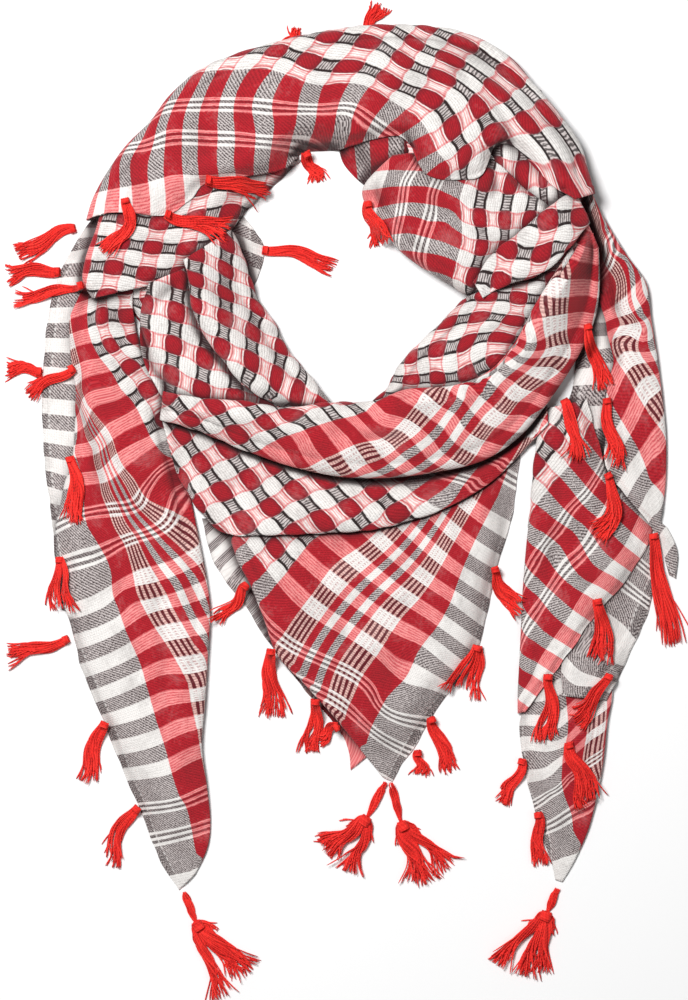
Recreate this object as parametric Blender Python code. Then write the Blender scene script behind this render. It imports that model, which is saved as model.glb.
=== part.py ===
"""Keffiyeh headscarf: a square of checked cotton, folded on its diagonal, wound round the neck and laid flat.

Each stretch of cloth that shows is a thin closed wall, lofted across two rails and laid on the pieces below.
The hidden layers of the ring and of each hanging end are one rounded solid, stepped at its edges as folded
cloth is. Tassels are strands drawn out of the side of a narrow knotted strip. Tables are in millimetres: +X
to the wearer's left, +Y towards the back of the neck, +Z up from the surface that the scarf lies on.
"""

import math

import bpy
import numpy as np

MM = 0.001
CENTRE = (-0.1, -1.0)  # the middle of the whole outline, mm, taken off every point

WALL = 1.5  # cloth thickness, mm
GAP = 0.35  # between two pieces, mm
FLOOR_GAP = 0.3  # under cloth and tassels that lie on the surface, mm
ROW_STEP = 14.0  # between cross-sections of a sheet, mm
COLUMN_STEP = 14.0  # between points across a sheet, mm
CELL = 1.0  # of the height map, mm
REACH = 5  # cells over which a sheet bridges a step below it
SOFTEN = 4  # cells over which that bridge is smoothed

LAYER_BULGE = 1.2  # how far each hidden layer's rounded edge stands out, mm
LAYER_STEP = 1.4  # how far each hidden layer is set back from the one below, mm

STRIP_WIDTH = 2.4  # of a fringe's knotted strip, mm
STRIP_HEIGHT = 2.2
STRAND_PITCH = 2.0  # between strands at the strip, mm
STRAND_HEIGHT = 2.0
STRAND_STEPS = 3  # cross-sections along a strand
STRAND_TAPER = 0.35  # of its width, lost towards the tip
CORNER_STRANDS = 7  # a tassel of this many or more is a corner one, with strands closer together
CORNER_PITCH = 1.3
UNEVEN = 0.12  # how much shorter some strands are
FRINGE_BELOW = ["tassels_top_outer"]  # they come out from under the cloth

# How a sheet's long edge ends: width of the turn in mm, and whether it is a round fold or a flat free edge.
ROLL = (9.0, "round")
FLAT = (14.0, "eased")
TUCK = (0.0, "level")

# Hidden layers: left x, left y, right x, right y, height.
CORES = {
    "hidden_layers_ring": [
        (1, 271, 1, 217, 20), (-26, 265, -26, 216, 20), (-53, 257, -43, 207, 19),
        (-77, 250, -58, 195, 18), (-98, 234, -71, 183, 17), (-116, 216, -82, 173, 16),
        (-130, 198, -86, 161, 15), (-139, 177, -83, 149, 14), (-144, 156, -77, 135, 13),
        (-142, 135, -71, 120, 13), (-128, 114, -62, 105, 13), (-113, 93, -52, 89, 13),
        (-103, 72, -38, 73, 14), (-83, 53, -23, 60, 14), (-53, 36, -11, 53, 14), (-20, 25, 1, 53, 14),
        (16, 20, 17, 52, 14), (49, 24, 31, 59, 14), (79, 34, 42, 72, 15), (101, 49, 53, 86, 16),
        (119, 69, 66, 99, 17), (131, 93, 78, 112, 18), (138, 120, 82, 118, 18),
        (140, 143, 67, 130, 19), (140, 165, 48, 142, 20), (136, 186, 40, 156, 20),
        (125, 207, 28, 173, 20), (110, 227, 25, 185, 20), (91, 247, 24, 197, 20),
        (64, 266, 26, 209, 20), (34, 272, 13, 217, 20), (1, 271, 1, 217, 20),
    ],
    "hidden_layers_left_tail": [
        (-157, 99, -136, 99, 4), (-157, 60, -125, 65, 5), (-158, 30, -115, 34, 6),
        (-161, 0, -104, 7, 6), (-163, -33, -97, -24, 6), (-156, -67, -91, -57, 6),
        (-148, -96, -89, -87, 6), (-137, -129, -90, -120, 6), (-125, -161, -90, -151, 5),
        (-115, -187, -89, -180, 4),
    ],
    "hidden_layers_front": [
        (-77, 0, 88, 0, 6), (-65, -13, 89, -18, 7), (-55, -34, 83, -42, 7), (-46, -60, 76, -67, 7),
        (-32, -84, 64, -93, 6), (-16, -106, 49, -115, 6), (2, -127, 37, -134, 5),
    ],
    "hidden_layers_right": [
        (122, 42, 148, 46, 6), (121, 18, 152, 18, 6), (119, -9, 160, -7, 6), (116, -36, 157, -31, 6),
        (115, -63, 154, -60, 6), (114, -90, 150, -87, 5), (113, -120, 146, -120, 5),
        (116, -150, 144, -151, 4), (121, -180, 140, -180, 3),
    ],
}
# Cloth, from the surface up: edge styles, then left x, left y, right x, right y, rise over what is below.
SHEETS = {
    "back_left_fold": (FLAT, TUCK, [
        (-144, 176, -116, 173, 1), (-156, 162, -128, 156, 1), (-170, 137, -146, 132, 1),
        (-176, 117, -151, 113, 1), (-179, 96, -152, 93, 1), (-181, 75, -152, 72, 1),
        (-181, 48, -151, 45, 1), (-179, 18, -149, 13, 1), (-175, -15, -151, -18, 1),
        (-172, -45, -155, -48, 1), (-169, -66, -158, -69, 1),
    ]),
    "hole_flap_left": (TUCK, FLAT, [
        (-73, 177, -62, 172, 0), (-77, 163, -53, 161, 0), (-77, 150, -48, 151, 0),
        (-73, 138, -50, 138, 0), (-62, 126, -55, 126, 0),
    ]),
    "hole_flap_top": (TUCK, TUCK, [
        (-4, 216, 41, 216, 0), (-1, 203, 37, 204, 0), (6, 194, 29, 197, 0), (13, 188, 22, 191, 0),
    ]),
    "right_edge_strip": (TUCK, TUCK, [
        (146, 122, 157, 120, 0), (142, 102, 161, 97, 1), (139, 83, 163, 79, 1), (137, 67, 161, 62, 1),
        (134, 54, 158, 42, 1), (142, 36, 157, 27, 1), (149, 20, 158, 16, 0),
    ]),
    "left_tail": (FLAT, ROLL, [
        (-154, 131, -122, 143, 1), (-160, 120, -126, 121, 3), (-164, 107, -125, 105, 4),
        (-164, 89, -121, 90, 4), (-161, 69, -113, 73, 4), (-161, 48, -107, 59, 4),
        (-162, 27, -101, 36, 4), (-168, 6, -94, 13, 3), (-173, -18, -90, -7, 3),
        (-172, -39, -86, -27, 3), (-168, -63, -82, -48, 3), (-162, -81, -80, -67, 3),
        (-157, -102, -81, -87, 3), (-145, -131, -83, -120, 3), (-133, -161, -85, -147, 3),
        (-121, -189, -82, -171, 3), (-113, -210, -80, -193, 2), (-104, -227, -82, -209, 2),
        (-99, -234, -89, -224, 1),
    ]),
    "left_shoulder": (ROLL, TUCK, [
        (-136, 186, -26, 204, 3), (-144, 174, -37, 193, 4), (-148, 161, -52, 180, 4),
        (-154, 145, -65, 165, 4), (-156, 131, -73, 150, 4), (-150, 120, -83, 135, 2),
    ]),
    "neck_pleat_right": (TUCK, TUCK, [
        (76, 240, 118, 246, 0), (76, 210, 137, 210, 0), (80, 180, 142, 180, 0), (94, 161, 139, 161, 0),
        (112, 143, 136, 145, 0),
    ]),
    "inner_wrap_right": (ROLL, TUCK, [
        (29, 205, 76, 210, 2), (12, 188, 94, 198, 4), (13, 176, 106, 186, 5), (23, 163, 118, 177, 5),
        (32, 150, 127, 169, 5), (49, 137, 133, 159, 4), (74, 122, 130, 145, 2),
    ]),
    "front_middle": (TUCK, TUCK, [
        (-116, 129, -92, 139, 1), (-121, 114, -89, 120, 4), (-122, 96, -80, 102, 5),
        (-119, 81, -71, 87, 5), (-112, 67, -60, 72, 4), (-106, 57, -47, 60, 2), (-101, 51, -35, 53, 0),
    ]),
    "neck_roll_left": (ROLL, ROLL, [
        (-95, 143, -67, 161, 3), (-92, 129, -59, 143, 6), (-90, 113, -52, 121, 7),
        (-82, 96, -42, 107, 7), (-72, 83, -34, 91, 7), (-61, 70, -23, 77, 6), (-49, 61, -12, 64, 5),
        (-35, 55, -6, 56, 2),
    ]),
    "neck_roll_right": (ROLL, ROLL, [
        (121, 143, 146, 156, 3), (94, 128, 130, 129, 6), (74, 121, 116, 111, 7), (58, 106, 107, 99, 7),
        (43, 92, 100, 89, 7), (34, 82, 89, 77, 7), (25, 66, 70, 67, 5), (17, 59, 46, 61, 2),
    ]),
    "front_back_layer": (FLAT, TUCK, [
        (-85, -11, -49, -12, 0), (-78, -38, -38, -36, 0), (-61, -61, -26, -54, 0),
        (-46, -84, -8, -84, 0), (-26, -111, 10, -114, 0), (-1, -141, 22, -138, 0),
        (4, -162, 17, -151, 0),
    ]),
    "front_point": (ROLL, FLAT, [
        (94, 18, 107, 36, 1), (52, -3, 101, -8, 1), (-8, -12, 97, -23, 2), (-62, -19, 91, -43, 3),
        (-65, -33, 86, -67, 3), (-56, -51, 79, -93, 3), (-48, -71, 70, -108, 3),
        (-40, -93, 60, -119, 3), (-24, -110, 51, -133, 2), (-5, -131, 42, -149, 2),
        (11, -151, 35, -158, 1), (23, -166, 29, -169, 1),
    ]),
    "right_tail_end": (FLAT, ROLL, [
        (127, -90, 161, -96, 1), (115, -114, 161, -117, 1), (106, -129, 158, -133, 2),
        (106, -147, 156, -153, 2), (109, -165, 153, -171, 2), (113, -180, 150, -185, 2),
        (117, -195, 146, -199, 2), (123, -213, 139, -215, 1), (127, -228, 131, -229, 1),
    ]),
    "right_tail_side": (TUCK, FLAT, [
        (152, -33, 187, -27, 1), (149, -51, 185, -51, 1), (143, -66, 182, -69, 1),
        (136, -81, 172, -90, 1), (130, -99, 164, -108, 1), (131, -117, 157, -120, 0),
    ]),
    "right_tail_panel": (ROLL, FLAT, [
        (122, 55, 145, 60, 1), (116, 36, 152, 36, 3), (113, 15, 158, 18, 3), (111, -9, 175, 0, 3),
        (109, -27, 185, -18, 3), (107, -51, 169, -48, 3), (106, -72, 151, -68, 3),
        (105, -93, 136, -89, 2), (104, -114, 118, -113, 1), (104, -128, 108, -127, 1),
    ]),
    "right_side_fold": (FLAT, ROLL, [
        (138, 190, 149, 182, 1), (144, 171, 157, 167, 4), (148, 150, 170, 146, 6),
        (152, 126, 181, 130, 7), (157, 105, 184, 109, 7), (161, 84, 188, 83, 6), (157, 62, 191, 60, 5),
        (157, 42, 193, 38, 4), (157, 20, 193, 13, 3), (168, 4, 191, -5, 2), (181, -12, 190, -13, 1),
        (187, -21, 194, -17, 1), (192, -34, 200, -31, 1), (195, -45, 199, -47, 1),
    ]),
    "front_swag": (TUCK, ROLL, [
        (-109, 48, -101, 18, 2), (-95, 46, -86, -7, 3), (-77, 40, -70, -20, 4), (-53, 29, -46, -21, 5),
        (-32, 22, -23, -20, 5), (-4, 15, 1, -19, 5), (23, 13, 25, -16, 5), (49, 16, 50, -9, 4),
        (76, 24, 71, 0, 4), (94, 32, 91, 13, 3), (106, 41, 108, 30, 2), (121, 57, 122, 45, 1),
    ]),
    "front_upper": (ROLL, ROLL, [
        (-108, 65, -110, 48, 3), (-89, 61, -86, 41, 5), (-62, 59, -55, 28, 6), (-35, 55, -32, 20, 6),
        (-11, 58, -4, 14, 6), (17, 59, 23, 13, 6), (37, 66, 52, 16, 6), (64, 68, 82, 23, 6),
        (85, 76, 104, 37, 6), (101, 93, 121, 57, 6), (112, 114, 139, 84, 5), (125, 135, 150, 108, 4),
        (136, 153, 153, 129, 3), (142, 171, 152, 150, 1),
    ]),
    "neck_fold_right": (ROLL, ROLL, [
        (77, 129, 82, 120, 1), (89, 147, 96, 127, 3), (103, 158, 118, 135, 4), (119, 172, 133, 149, 4),
        (137, 184, 146, 165, 2),
    ]),
    "top_band": (ROLL, FLAT, [
        (-154, 167, -136, 172, 1), (-150, 180, -107, 169, 3), (-142, 195, -92, 178, 5),
        (-131, 211, -82, 188, 6), (-116, 226, -65, 191, 7), (-103, 243, -49, 194, 8),
        (-83, 259, -35, 198, 8), (-59, 268, -29, 203, 8), (-26, 277, -23, 209, 8), (1, 282, 1, 210, 8),
        (28, 284, 34, 216, 8), (52, 283, 49, 193, 8), (76, 278, 70, 190, 8), (97, 267, 82, 193, 8),
        (115, 246, 89, 209, 7), (130, 228, 101, 210, 6), (142, 209, 121, 189, 4),
        (149, 182, 137, 178, 2),
    ]),
}
# Tassels: root x, y, middle x, y, tip x, y, spread of the tips, strands, and a corner tassel's stem x, y.
FRINGE = {
    "tassels_top_outer": [(-35, 272, -32, 277, -28, 282, 6, 3), (11, 280, 17, 288, 23, 297, 8, 4)],
    "tassels_band_left": [(-130, 179, -124, 157, -144, 145, 14, 4), (-106, 170, -86, 164, -67, 158, 12, 4)],
    "tassel_band_middle": [(-82, 190, -62, 187, -44, 182, 10, 4)],
    "tassel_band_hole": [(-23, 208, -18, 199, -14, 190, 8, 3)],
    "tassel_hole_right": [(14, 178, 17, 163, 23, 150, 10, 4)],
    "tassel_hole_left": [(-49, 150, -26, 148, -4, 139, 10, 4)],
    "tassel_back_1": [(-161, 163, -179, 157, -197, 147, 12, 4)],
    "tassels_back_2": [(-170, 137, -188, 137, -203, 134, 10, 3), (-155, 128, -176, 122, -199, 120, 10, 3)],
    "tassels_back_3": [(-161, 79, -178, 72, -193, 61, 8, 3), (-181, 77, -192, 78, -204, 79, 10, 4)],
    "tassel_left_1": [(-164, 26, -160, 6, -161, -15, 8, 4)],
    "tassel_left_2": [(-170, -34, -170, -51, -169, -68, 24, 4)],
    "tassel_left_3": [(-165, -83, -184, -90, -203, -93, 9, 4)],
    "tassel_left_4": [(-143, -133, -149, -150, -154, -171, 12, 4)],
    "tassel_left_5": [(-123, -184, -136, -198, -139, -221, 16, 4)],
    "tassel_front_0": [(-58, -50, -65, -62, -80, -74, 8, 3)],
    "tassel_front_1": [(-44, -89, -44, -111, -43, -131, 16, 4)],
    "tassels_front_2": [(-17, -119, -19, -138, -21, -154, 9, 3), (-3, -135, -10, -139, -16, -145, 7, 3)],
    "tassels_front_3": [(52, -130, 58, -147, 64, -164, 10, 4), (44, -150, 45, -160, 46, -167, 6, 3)],
    "tassel_front_4": [(80, -87, 76, -101, 70, -118, 20, 4)],
    "tassel_front_5": [(90, -40, 94, -56, 107, -67, 14, 4)],
    "tassel_right_1": [(145, 105, 151, 85, 156, 65, 8, 4)],
    "tassel_right_2": [(131, 60, 140, 42, 140, 19, 8, 4)],
    "tassels_right_3": [(157, 61, 162, 39, 163, 17, 10, 4), (157, 16, 170, -5, 150, -23, 12, 4)],
    "tassel_right_4": [(151, -59, 155, -79, 154, -100, 12, 4)],
    "tassel_right_5": [(185, -20, 191, -54, 198, -96, 14, 5)],
    "tassel_right_6": [(122, -104, 122, -125, 119, -146, 10, 4)],
    "tassel_right_7": [(159, -104, 152, -122, 137, -134, 10, 4)],
    "tassel_right_8": [(134, -145, 140, -164, 146, -184, 16, 5)],
    "tassel_right_9": [(107, -155, 103, -170, 94, -183, 10, 4)],
    "tassel_right_10": [(116, -187, 118, -204, 118, -222, 12, 4)],
    "corner_tassel_left": [(-89, -253, -77, -270, -61, -293, 42, 9, -96, -235)],
    "corner_tassel_front_1": [(14, -190, 6, -203, -8, -217, 44, 9, 25, -169)],
    "corner_tassel_front_2": [(34, -193, 42, -209, 53, -230, 36, 9, 28, -169)],
    "corner_tassel_right": [(122, -247, 115, -264, 107, -286, 40, 9, 128, -233)],
}
# Main creases: points along each, half-width and height in millimetres (below zero for a trough).
FOLDS = [
    ([(-107, 60), (-104, 20), (-98, -10)], 9, -4),
    ([(-92, 120), (-86, 100), (-60, 69), (-26, 53), (4, 45)], 6, -3),
    ([(-100, 45), (-55, 29), (-4, 14), (41, 14), (82, 23)], 6, -3),
    ([(148, 162), (154, 144), (161, 120), (166, 102)], 6, -3),
]

COLOURS = {
    "check": (0.48, 0.10, 0.12),
    "hidden": (0.30, 0.10, 0.11),
    "fringe": (0.80, 0.03, 0.02),
}


def spline(rows, count):
    """Rows spaced evenly along a smooth curve through the given rows."""
    rows = np.array(rows, float)
    fine = []
    for index in range(len(rows) - 1):
        before, start = rows[max(index - 1, 0)], rows[index]
        end, after = rows[index + 1], rows[min(index + 2, len(rows) - 1)]
        for t in np.linspace(0, 1, 8, endpoint=False):
            fine.append(
                0.5 * (2 * start + (end - before) * t + (2 * before - 5 * start + 4 * end - after) * t**2
                       + (3 * start - before - 3 * end + after) * t**3)
            )
    fine = np.array(fine + [rows[-1]])
    middle = (fine[:, 0:2] + fine[:, 2:4]) / 2 if rows.shape[1] >= 4 else fine[:, :2]
    along = np.r_[0, np.cumsum(np.linalg.norm(np.diff(middle, axis=0), axis=1))]
    wanted = np.linspace(0, along[-1], count or max(3, round(along[-1] / ROW_STEP) + 1))
    return np.stack([np.interp(wanted, along, fine[:, column]) for column in range(fine.shape[1])], axis=1)


class Ground:
    """How high the pieces laid so far reach, in millimetres on a square grid."""

    ORIGIN = np.array([-225.0, -325.0])
    SIZE = (450, 650)

    def __init__(self):
        self.height = np.zeros(self.SIZE)

    @staticmethod
    def spread(grid, cells):
        """Each cell takes the highest value within this many cells."""
        result = grid.copy()
        for axis in (0, 1):
            source = result.copy()
            for shift in range(1, cells + 1):
                result = np.maximum(result, np.roll(source, shift, axis))
                result = np.maximum(result, np.roll(source, -shift, axis))
        return result

    @staticmethod
    def soften(grid, cells):
        """Running mean over a square of this many cells each way."""
        for axis in (0, 1):
            grid = sum(np.roll(grid, shift, axis) for shift in range(-cells, cells + 1)) / (2 * cells + 1)
        return grid

    def bridge(self):
        """The height that cloth keeps when it spans the steps of what is below."""
        return self.soften(self.spread(self.height, REACH), SOFTEN)

    def at(self, grid, x, y):
        """Bilinear reading of a grid at points in millimetres."""
        column = (np.asarray(x) - self.ORIGIN[0]) / CELL - 0.5
        row = (np.asarray(y) - self.ORIGIN[1]) / CELL - 0.5
        i, j = np.floor(column).astype(int), np.floor(row).astype(int)
        a, b = column - i, row - j
        return ((1 - a) * (1 - b) * grid[i, j] + a * (1 - b) * grid[i + 1, j]
                + (1 - a) * b * grid[i, j + 1] + a * b * grid[i + 1, j + 1])

    def cells(self, corners):
        """The cells whose centres a triangle covers, seen from above, and the corners' weights at each."""
        low = np.floor((corners[:, :2].min(axis=0) - self.ORIGIN) / CELL).astype(int)
        high = np.ceil((corners[:, :2].max(axis=0) - self.ORIGIN) / CELL).astype(int)
        i, j = np.meshgrid(np.arange(low[0], high[0] + 1), np.arange(low[1], high[1] + 1), indexing="ij")
        i, j = i.ravel(), j.ravel()
        x = self.ORIGIN[0] + (i + 0.5) * CELL
        y = self.ORIGIN[1] + (j + 0.5) * CELL
        (ax, ay), (bx, by), (cx, cy) = corners[:, :2]
        area = (bx - ax) * (cy - ay) - (cx - ax) * (by - ay)
        if abs(area) < 1e-6:
            return i[:0], j[:0], np.empty((0, 3))
        second = ((x - ax) * (cy - ay) - (cx - ax) * (y - ay)) / area
        third = ((bx - ax) * (y - ay) - (x - ax) * (by - ay)) / area
        weights = np.stack([1 - second - third, second, third], axis=1)
        inside = (weights > -0.02).all(axis=1)
        return i[inside], j[inside], weights[inside]

    def lift(self, points, faces, groups, shape=None):
        """Raises groups of points until every face clears what is laid so far. A sheet's neighbours follow."""
        limit = self.spread(self.height, 1) + GAP
        for _ in range(60):
            need = np.zeros(groups.max() + 1)
            corners = points[faces]
            across = np.cross(corners[:, 1] - corners[:, 0], corners[:, 2] - corners[:, 0])
            for face, triangle in zip(faces[across[:, 2] < 0], corners[across[:, 2] < 0]):
                i, j, weights = self.cells(triangle)
                if not len(i):
                    continue
                short = np.maximum(limit[i, j], FLOOR_GAP) - weights @ triangle[:, 2]
                worst = int(short.argmax())
                if short[worst] <= 0:
                    continue
                share = np.clip(weights[worst], 0, 1)
                rise = short[worst] * share / (share @ share)
                np.maximum.at(need, groups[face], rise)
            if need.max() < 0.01:
                break
            if shape:
                wide = np.pad(need.reshape(shape), 1, mode="edge")
                beside = (wide[2:, 1:-1], wide[:-2, 1:-1], wide[1:-1, 2:], wide[1:-1, :-2])
                need = np.maximum(need, 0.6 * np.max(beside, axis=0).ravel())
            points[:, 2] += need[groups]
        return points

    def lay(self, points, faces):
        """Adds a piece to what later pieces lie on."""
        for triangle in points[faces]:
            i, j, weights = self.cells(triangle)
            if len(i):
                np.maximum.at(self.height, (i, j), weights @ triangle[:, 2])


def material(name):
    made = bpy.data.materials.get(name)
    if made is None:
        made = bpy.data.materials.new(name)
        made.use_nodes = True
        shader = made.node_tree.nodes["Principled BSDF"]
        shader.inputs["Base Color"].default_value = (*COLOURS[name], 1)
        shader.inputs["Roughness"].default_value = 0.85
        shader.inputs["Metallic"].default_value = 0.0
    return made


def outward(points, faces):
    """The faces of a closed mesh, all turned round if they point in."""
    return faces if np.linalg.det(points[faces]).sum() > 0 else faces[:, ::-1]


def add_object(name, points, faces, finish):
    """Makes a named object from points in millimetres."""
    points = (points - np.array([*CENTRE, 0.0])) * MM
    mesh = bpy.data.meshes.new(name)
    mesh.from_pydata(points.tolist(), [], faces.tolist())
    obj = bpy.data.objects.new(name, mesh)
    bpy.context.scene.collection.objects.link(obj)
    mesh.materials.append(material(finish))
    return obj


def triangles(quads):
    return np.array([half for a, b, c, d in quads for half in ((a, b, c), (a, c, d))])


def grid_quads(rows, columns, first=0):
    """Quads of a grid of points, facing up when rows run down and columns run right, seen from above."""
    return [
        (first + row * columns + column, first + (row + 1) * columns + column,
         first + (row + 1) * columns + column + 1, first + row * columns + column + 1)
        for row in range(rows - 1)
        for column in range(columns - 1)
    ]


def add_core(ground, name, rows):
    """Hidden layers: a flat underside, three rounded steps at each long edge and a crowned top."""
    ring = rows[0] == rows[-1]
    rows = np.array(rows if not ring else rows[:-1], float)
    sections = []
    for left_x, left_y, right_x, right_y, height in rows:
        left, right = np.array([left_x, left_y]), np.array([right_x, right_y])
        width = np.linalg.norm(right - left)
        across = (right - left) / width
        profile = [(LAYER_BULGE, 0.0)]
        for layer in range(3):
            profile.append((layer * LAYER_STEP, (layer + 0.5) * height / 3.6))
            profile.append((layer * LAYER_STEP + LAYER_BULGE, (layer + 1) * height / 3.6))
        profile.append((3 * LAYER_STEP + 2 * LAYER_BULGE, height * 0.94))
        side = [np.r_[left + across * inset, z] for inset, z in profile]
        other = [np.r_[right - across * inset, z] for inset, z in profile[::-1]]
        sections.append(side + [np.r_[(left + right) / 2, height]] + other)
    count, size = len(sections), len(sections[0])
    points = np.array(sections).reshape(-1, 3)
    quads = []
    for row in range(count if ring else count - 1):
        here, below = row * size, (row + 1) % count * size
        for column in range(size):
            beside = (column + 1) % size
            quads.append((here + column, below + column, below + beside, here + beside))
    faces = triangles(quads)
    if not ring:
        for row, turn in ((0, 1), (count - 1, -1)):
            start = row * size
            fan = [(start, start + k, start + k + 1)[::turn] for k in range(1, size - 1)]
            faces = np.r_[faces, fan]
    faces = outward(points, faces)
    ground.lay(points, faces)
    return add_object(name, points, faces, "hidden")


def edge_height(distance, edge):
    """How much of its full height a sheet has at a distance from its edge, from 0 to 1."""
    turn, style = edge
    if style == "level":
        return np.ones_like(distance)
    part = np.clip(distance / turn, 0, 1)
    if style == "round":
        return np.sqrt(np.clip(1 - (1 - part) ** 2, 0, 1))
    return part * part * (3 - 2 * part)


def column_places(edges, width):
    """Distances from the left rail, as parts of the width, with more columns where an edge turns down."""
    places = [0.0, 1.0]
    for (turn, style), side in zip(edges, (0, 1)):
        turn = min(turn, 0.4 * width)
        for part in {"round": (0.14, 0.5, 1.0), "eased": (0.5, 1.0), "level": ()}[style]:
            place = part * turn / width
            places.append(1 - place if side else place)
    places = sorted(places)
    wide = [(b - a) * width for a, b in zip(places, places[1:])]
    middle = int(np.argmax(wide))
    extra = max(0, round(wide[middle] / COLUMN_STEP) - 1)
    return np.array(sorted(places + list(np.linspace(places[middle], places[middle + 1], extra + 2)[1:-1])))


def fold_height(x, y):
    """The main creases, as soft ridges and troughs along their lines."""
    total = np.zeros_like(x)
    for points, width, height in FOLDS:
        line = spline(points, 24)
        away = np.hypot(x[..., None] - line[:, 0], y[..., None] - line[:, 1])
        nearest = away.argmin(axis=-1) / (len(line) - 1)
        ends = np.clip(np.minimum(nearest, 1 - nearest) / 0.2, 0, 1)
        total += height * np.exp(-((away.min(axis=-1) / width) ** 2)) * (0.25 + 0.75 * ends)
    return total


def add_sheet(ground, name, left_edge, right_edge, rows):
    """A wall of cloth between two rails, over whatever is below."""
    rows = spline(rows, 0)
    left, right, lift = rows[:, 0:2], rows[:, 2:4], rows[:, 4]
    widths = np.linalg.norm(right - left, axis=1)
    parts = column_places((left_edge, right_edge), float(np.median(widths)))
    x = left[:, :1] + (right - left)[:, :1] * parts
    y = left[:, 1:] + (right - left)[:, 1:] * parts
    bridge = ground.at(ground.bridge(), x, y)
    full = bridge + WALL + GAP + lift[:, None] + fold_height(x, y)
    resting = ground.at(ground.spread(ground.height, 1), x, y) + WALL + GAP
    shape = np.ones_like(full)
    for edge, place in ((left_edge, parts), (right_edge, 1 - parts)):
        distance = place * widths[:, None]
        turn = np.minimum(edge[0], 0.4 * widths)[:, None] if edge[0] else edge[0]
        shape = shape * edge_height(distance / np.maximum(turn, 1e-6), (1.0, edge[1]))
    z = resting + np.maximum(full - resting, 0) * shape
    top = np.stack([x, y, z], axis=-1)
    along = np.gradient(top, axis=0)
    across = np.gradient(top, axis=1)
    normal = np.cross(across, along)
    normal /= np.linalg.norm(normal, axis=-1, keepdims=True)
    normal *= np.sign(normal[..., 2:].mean())
    under = top - normal * WALL
    count, columns = x.shape
    size = count * columns
    points = np.r_[top.reshape(-1, 3), under.reshape(-1, 3)]
    upper = triangles(grid_quads(count, columns))
    lower = upper[:, ::-1] + size
    rim = list(range(columns)) + [row * columns + columns - 1 for row in range(1, count)]
    rim += [(count - 1) * columns + column for column in range(columns - 2, -1, -1)]
    rim += [row * columns for row in range(count - 2, 0, -1)]
    sides = triangles([(a, b, b + size, a + size) for a, b in zip(rim, rim[1:] + rim[:1])])
    faces = outward(points, np.r_[upper, lower, sides])
    groups = np.r_[np.arange(size), np.arange(size)]
    points = ground.lift(points, faces, groups, x.shape)
    ground.lay(points, faces)
    return add_object(name, points, faces, "check")


def strand_path(root, middle, tip, offsets, width):
    """Places, sideways directions and half widths along a strand, beside the tassel's own curve."""
    for step in range(1, STRAND_STEPS + 1):
        t = step / STRAND_STEPS
        centre = (1 - t) ** 2 * root + 2 * t * (1 - t) * middle + t**2 * tip
        heading = 2 * (1 - t) * (middle - root) + 2 * t * (tip - middle)
        heading /= np.linalg.norm(heading)
        side = np.array([heading[1], -heading[0]])
        offset = offsets[0] + (offsets[1] - offsets[0]) * t
        yield centre + side * offset, side, width * (1 - STRAND_TAPER * t) / 2


class Fringe:
    """One strip's mesh while it grows: points that keep their height together share a group."""

    def __init__(self, ground):
        self.ground = ground
        self.rest = ground.spread(ground.height, 2)
        self.points, self.groups, self.quads = [], [], []

    def add_section(self, corners):
        """Four new points, which rise together."""
        group = max(self.groups, default=-1) + 1
        self.points += corners
        self.groups += [group] * 4
        return list(range(len(self.points) - 4, len(self.points)))

    def draw_out(self, ring, path, corners):
        """Draws a four-sided strand out of the face whose corners are ring."""
        for place, side, half in path:
            low = max(float(self.ground.at(self.rest, *place)) + GAP, FLOOR_GAP)
            tall = STRAND_HEIGHT * half
            out = side * half
            fresh = self.add_section([np.r_[place + out * across, low + tall * up] for across, up in corners])
            for corner in range(4):
                beside = (corner + 1) % 4
                self.quads.append((ring[corner], ring[beside], fresh[beside], fresh[corner]))
            ring = fresh
        self.quads.append(tuple(ring))


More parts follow.
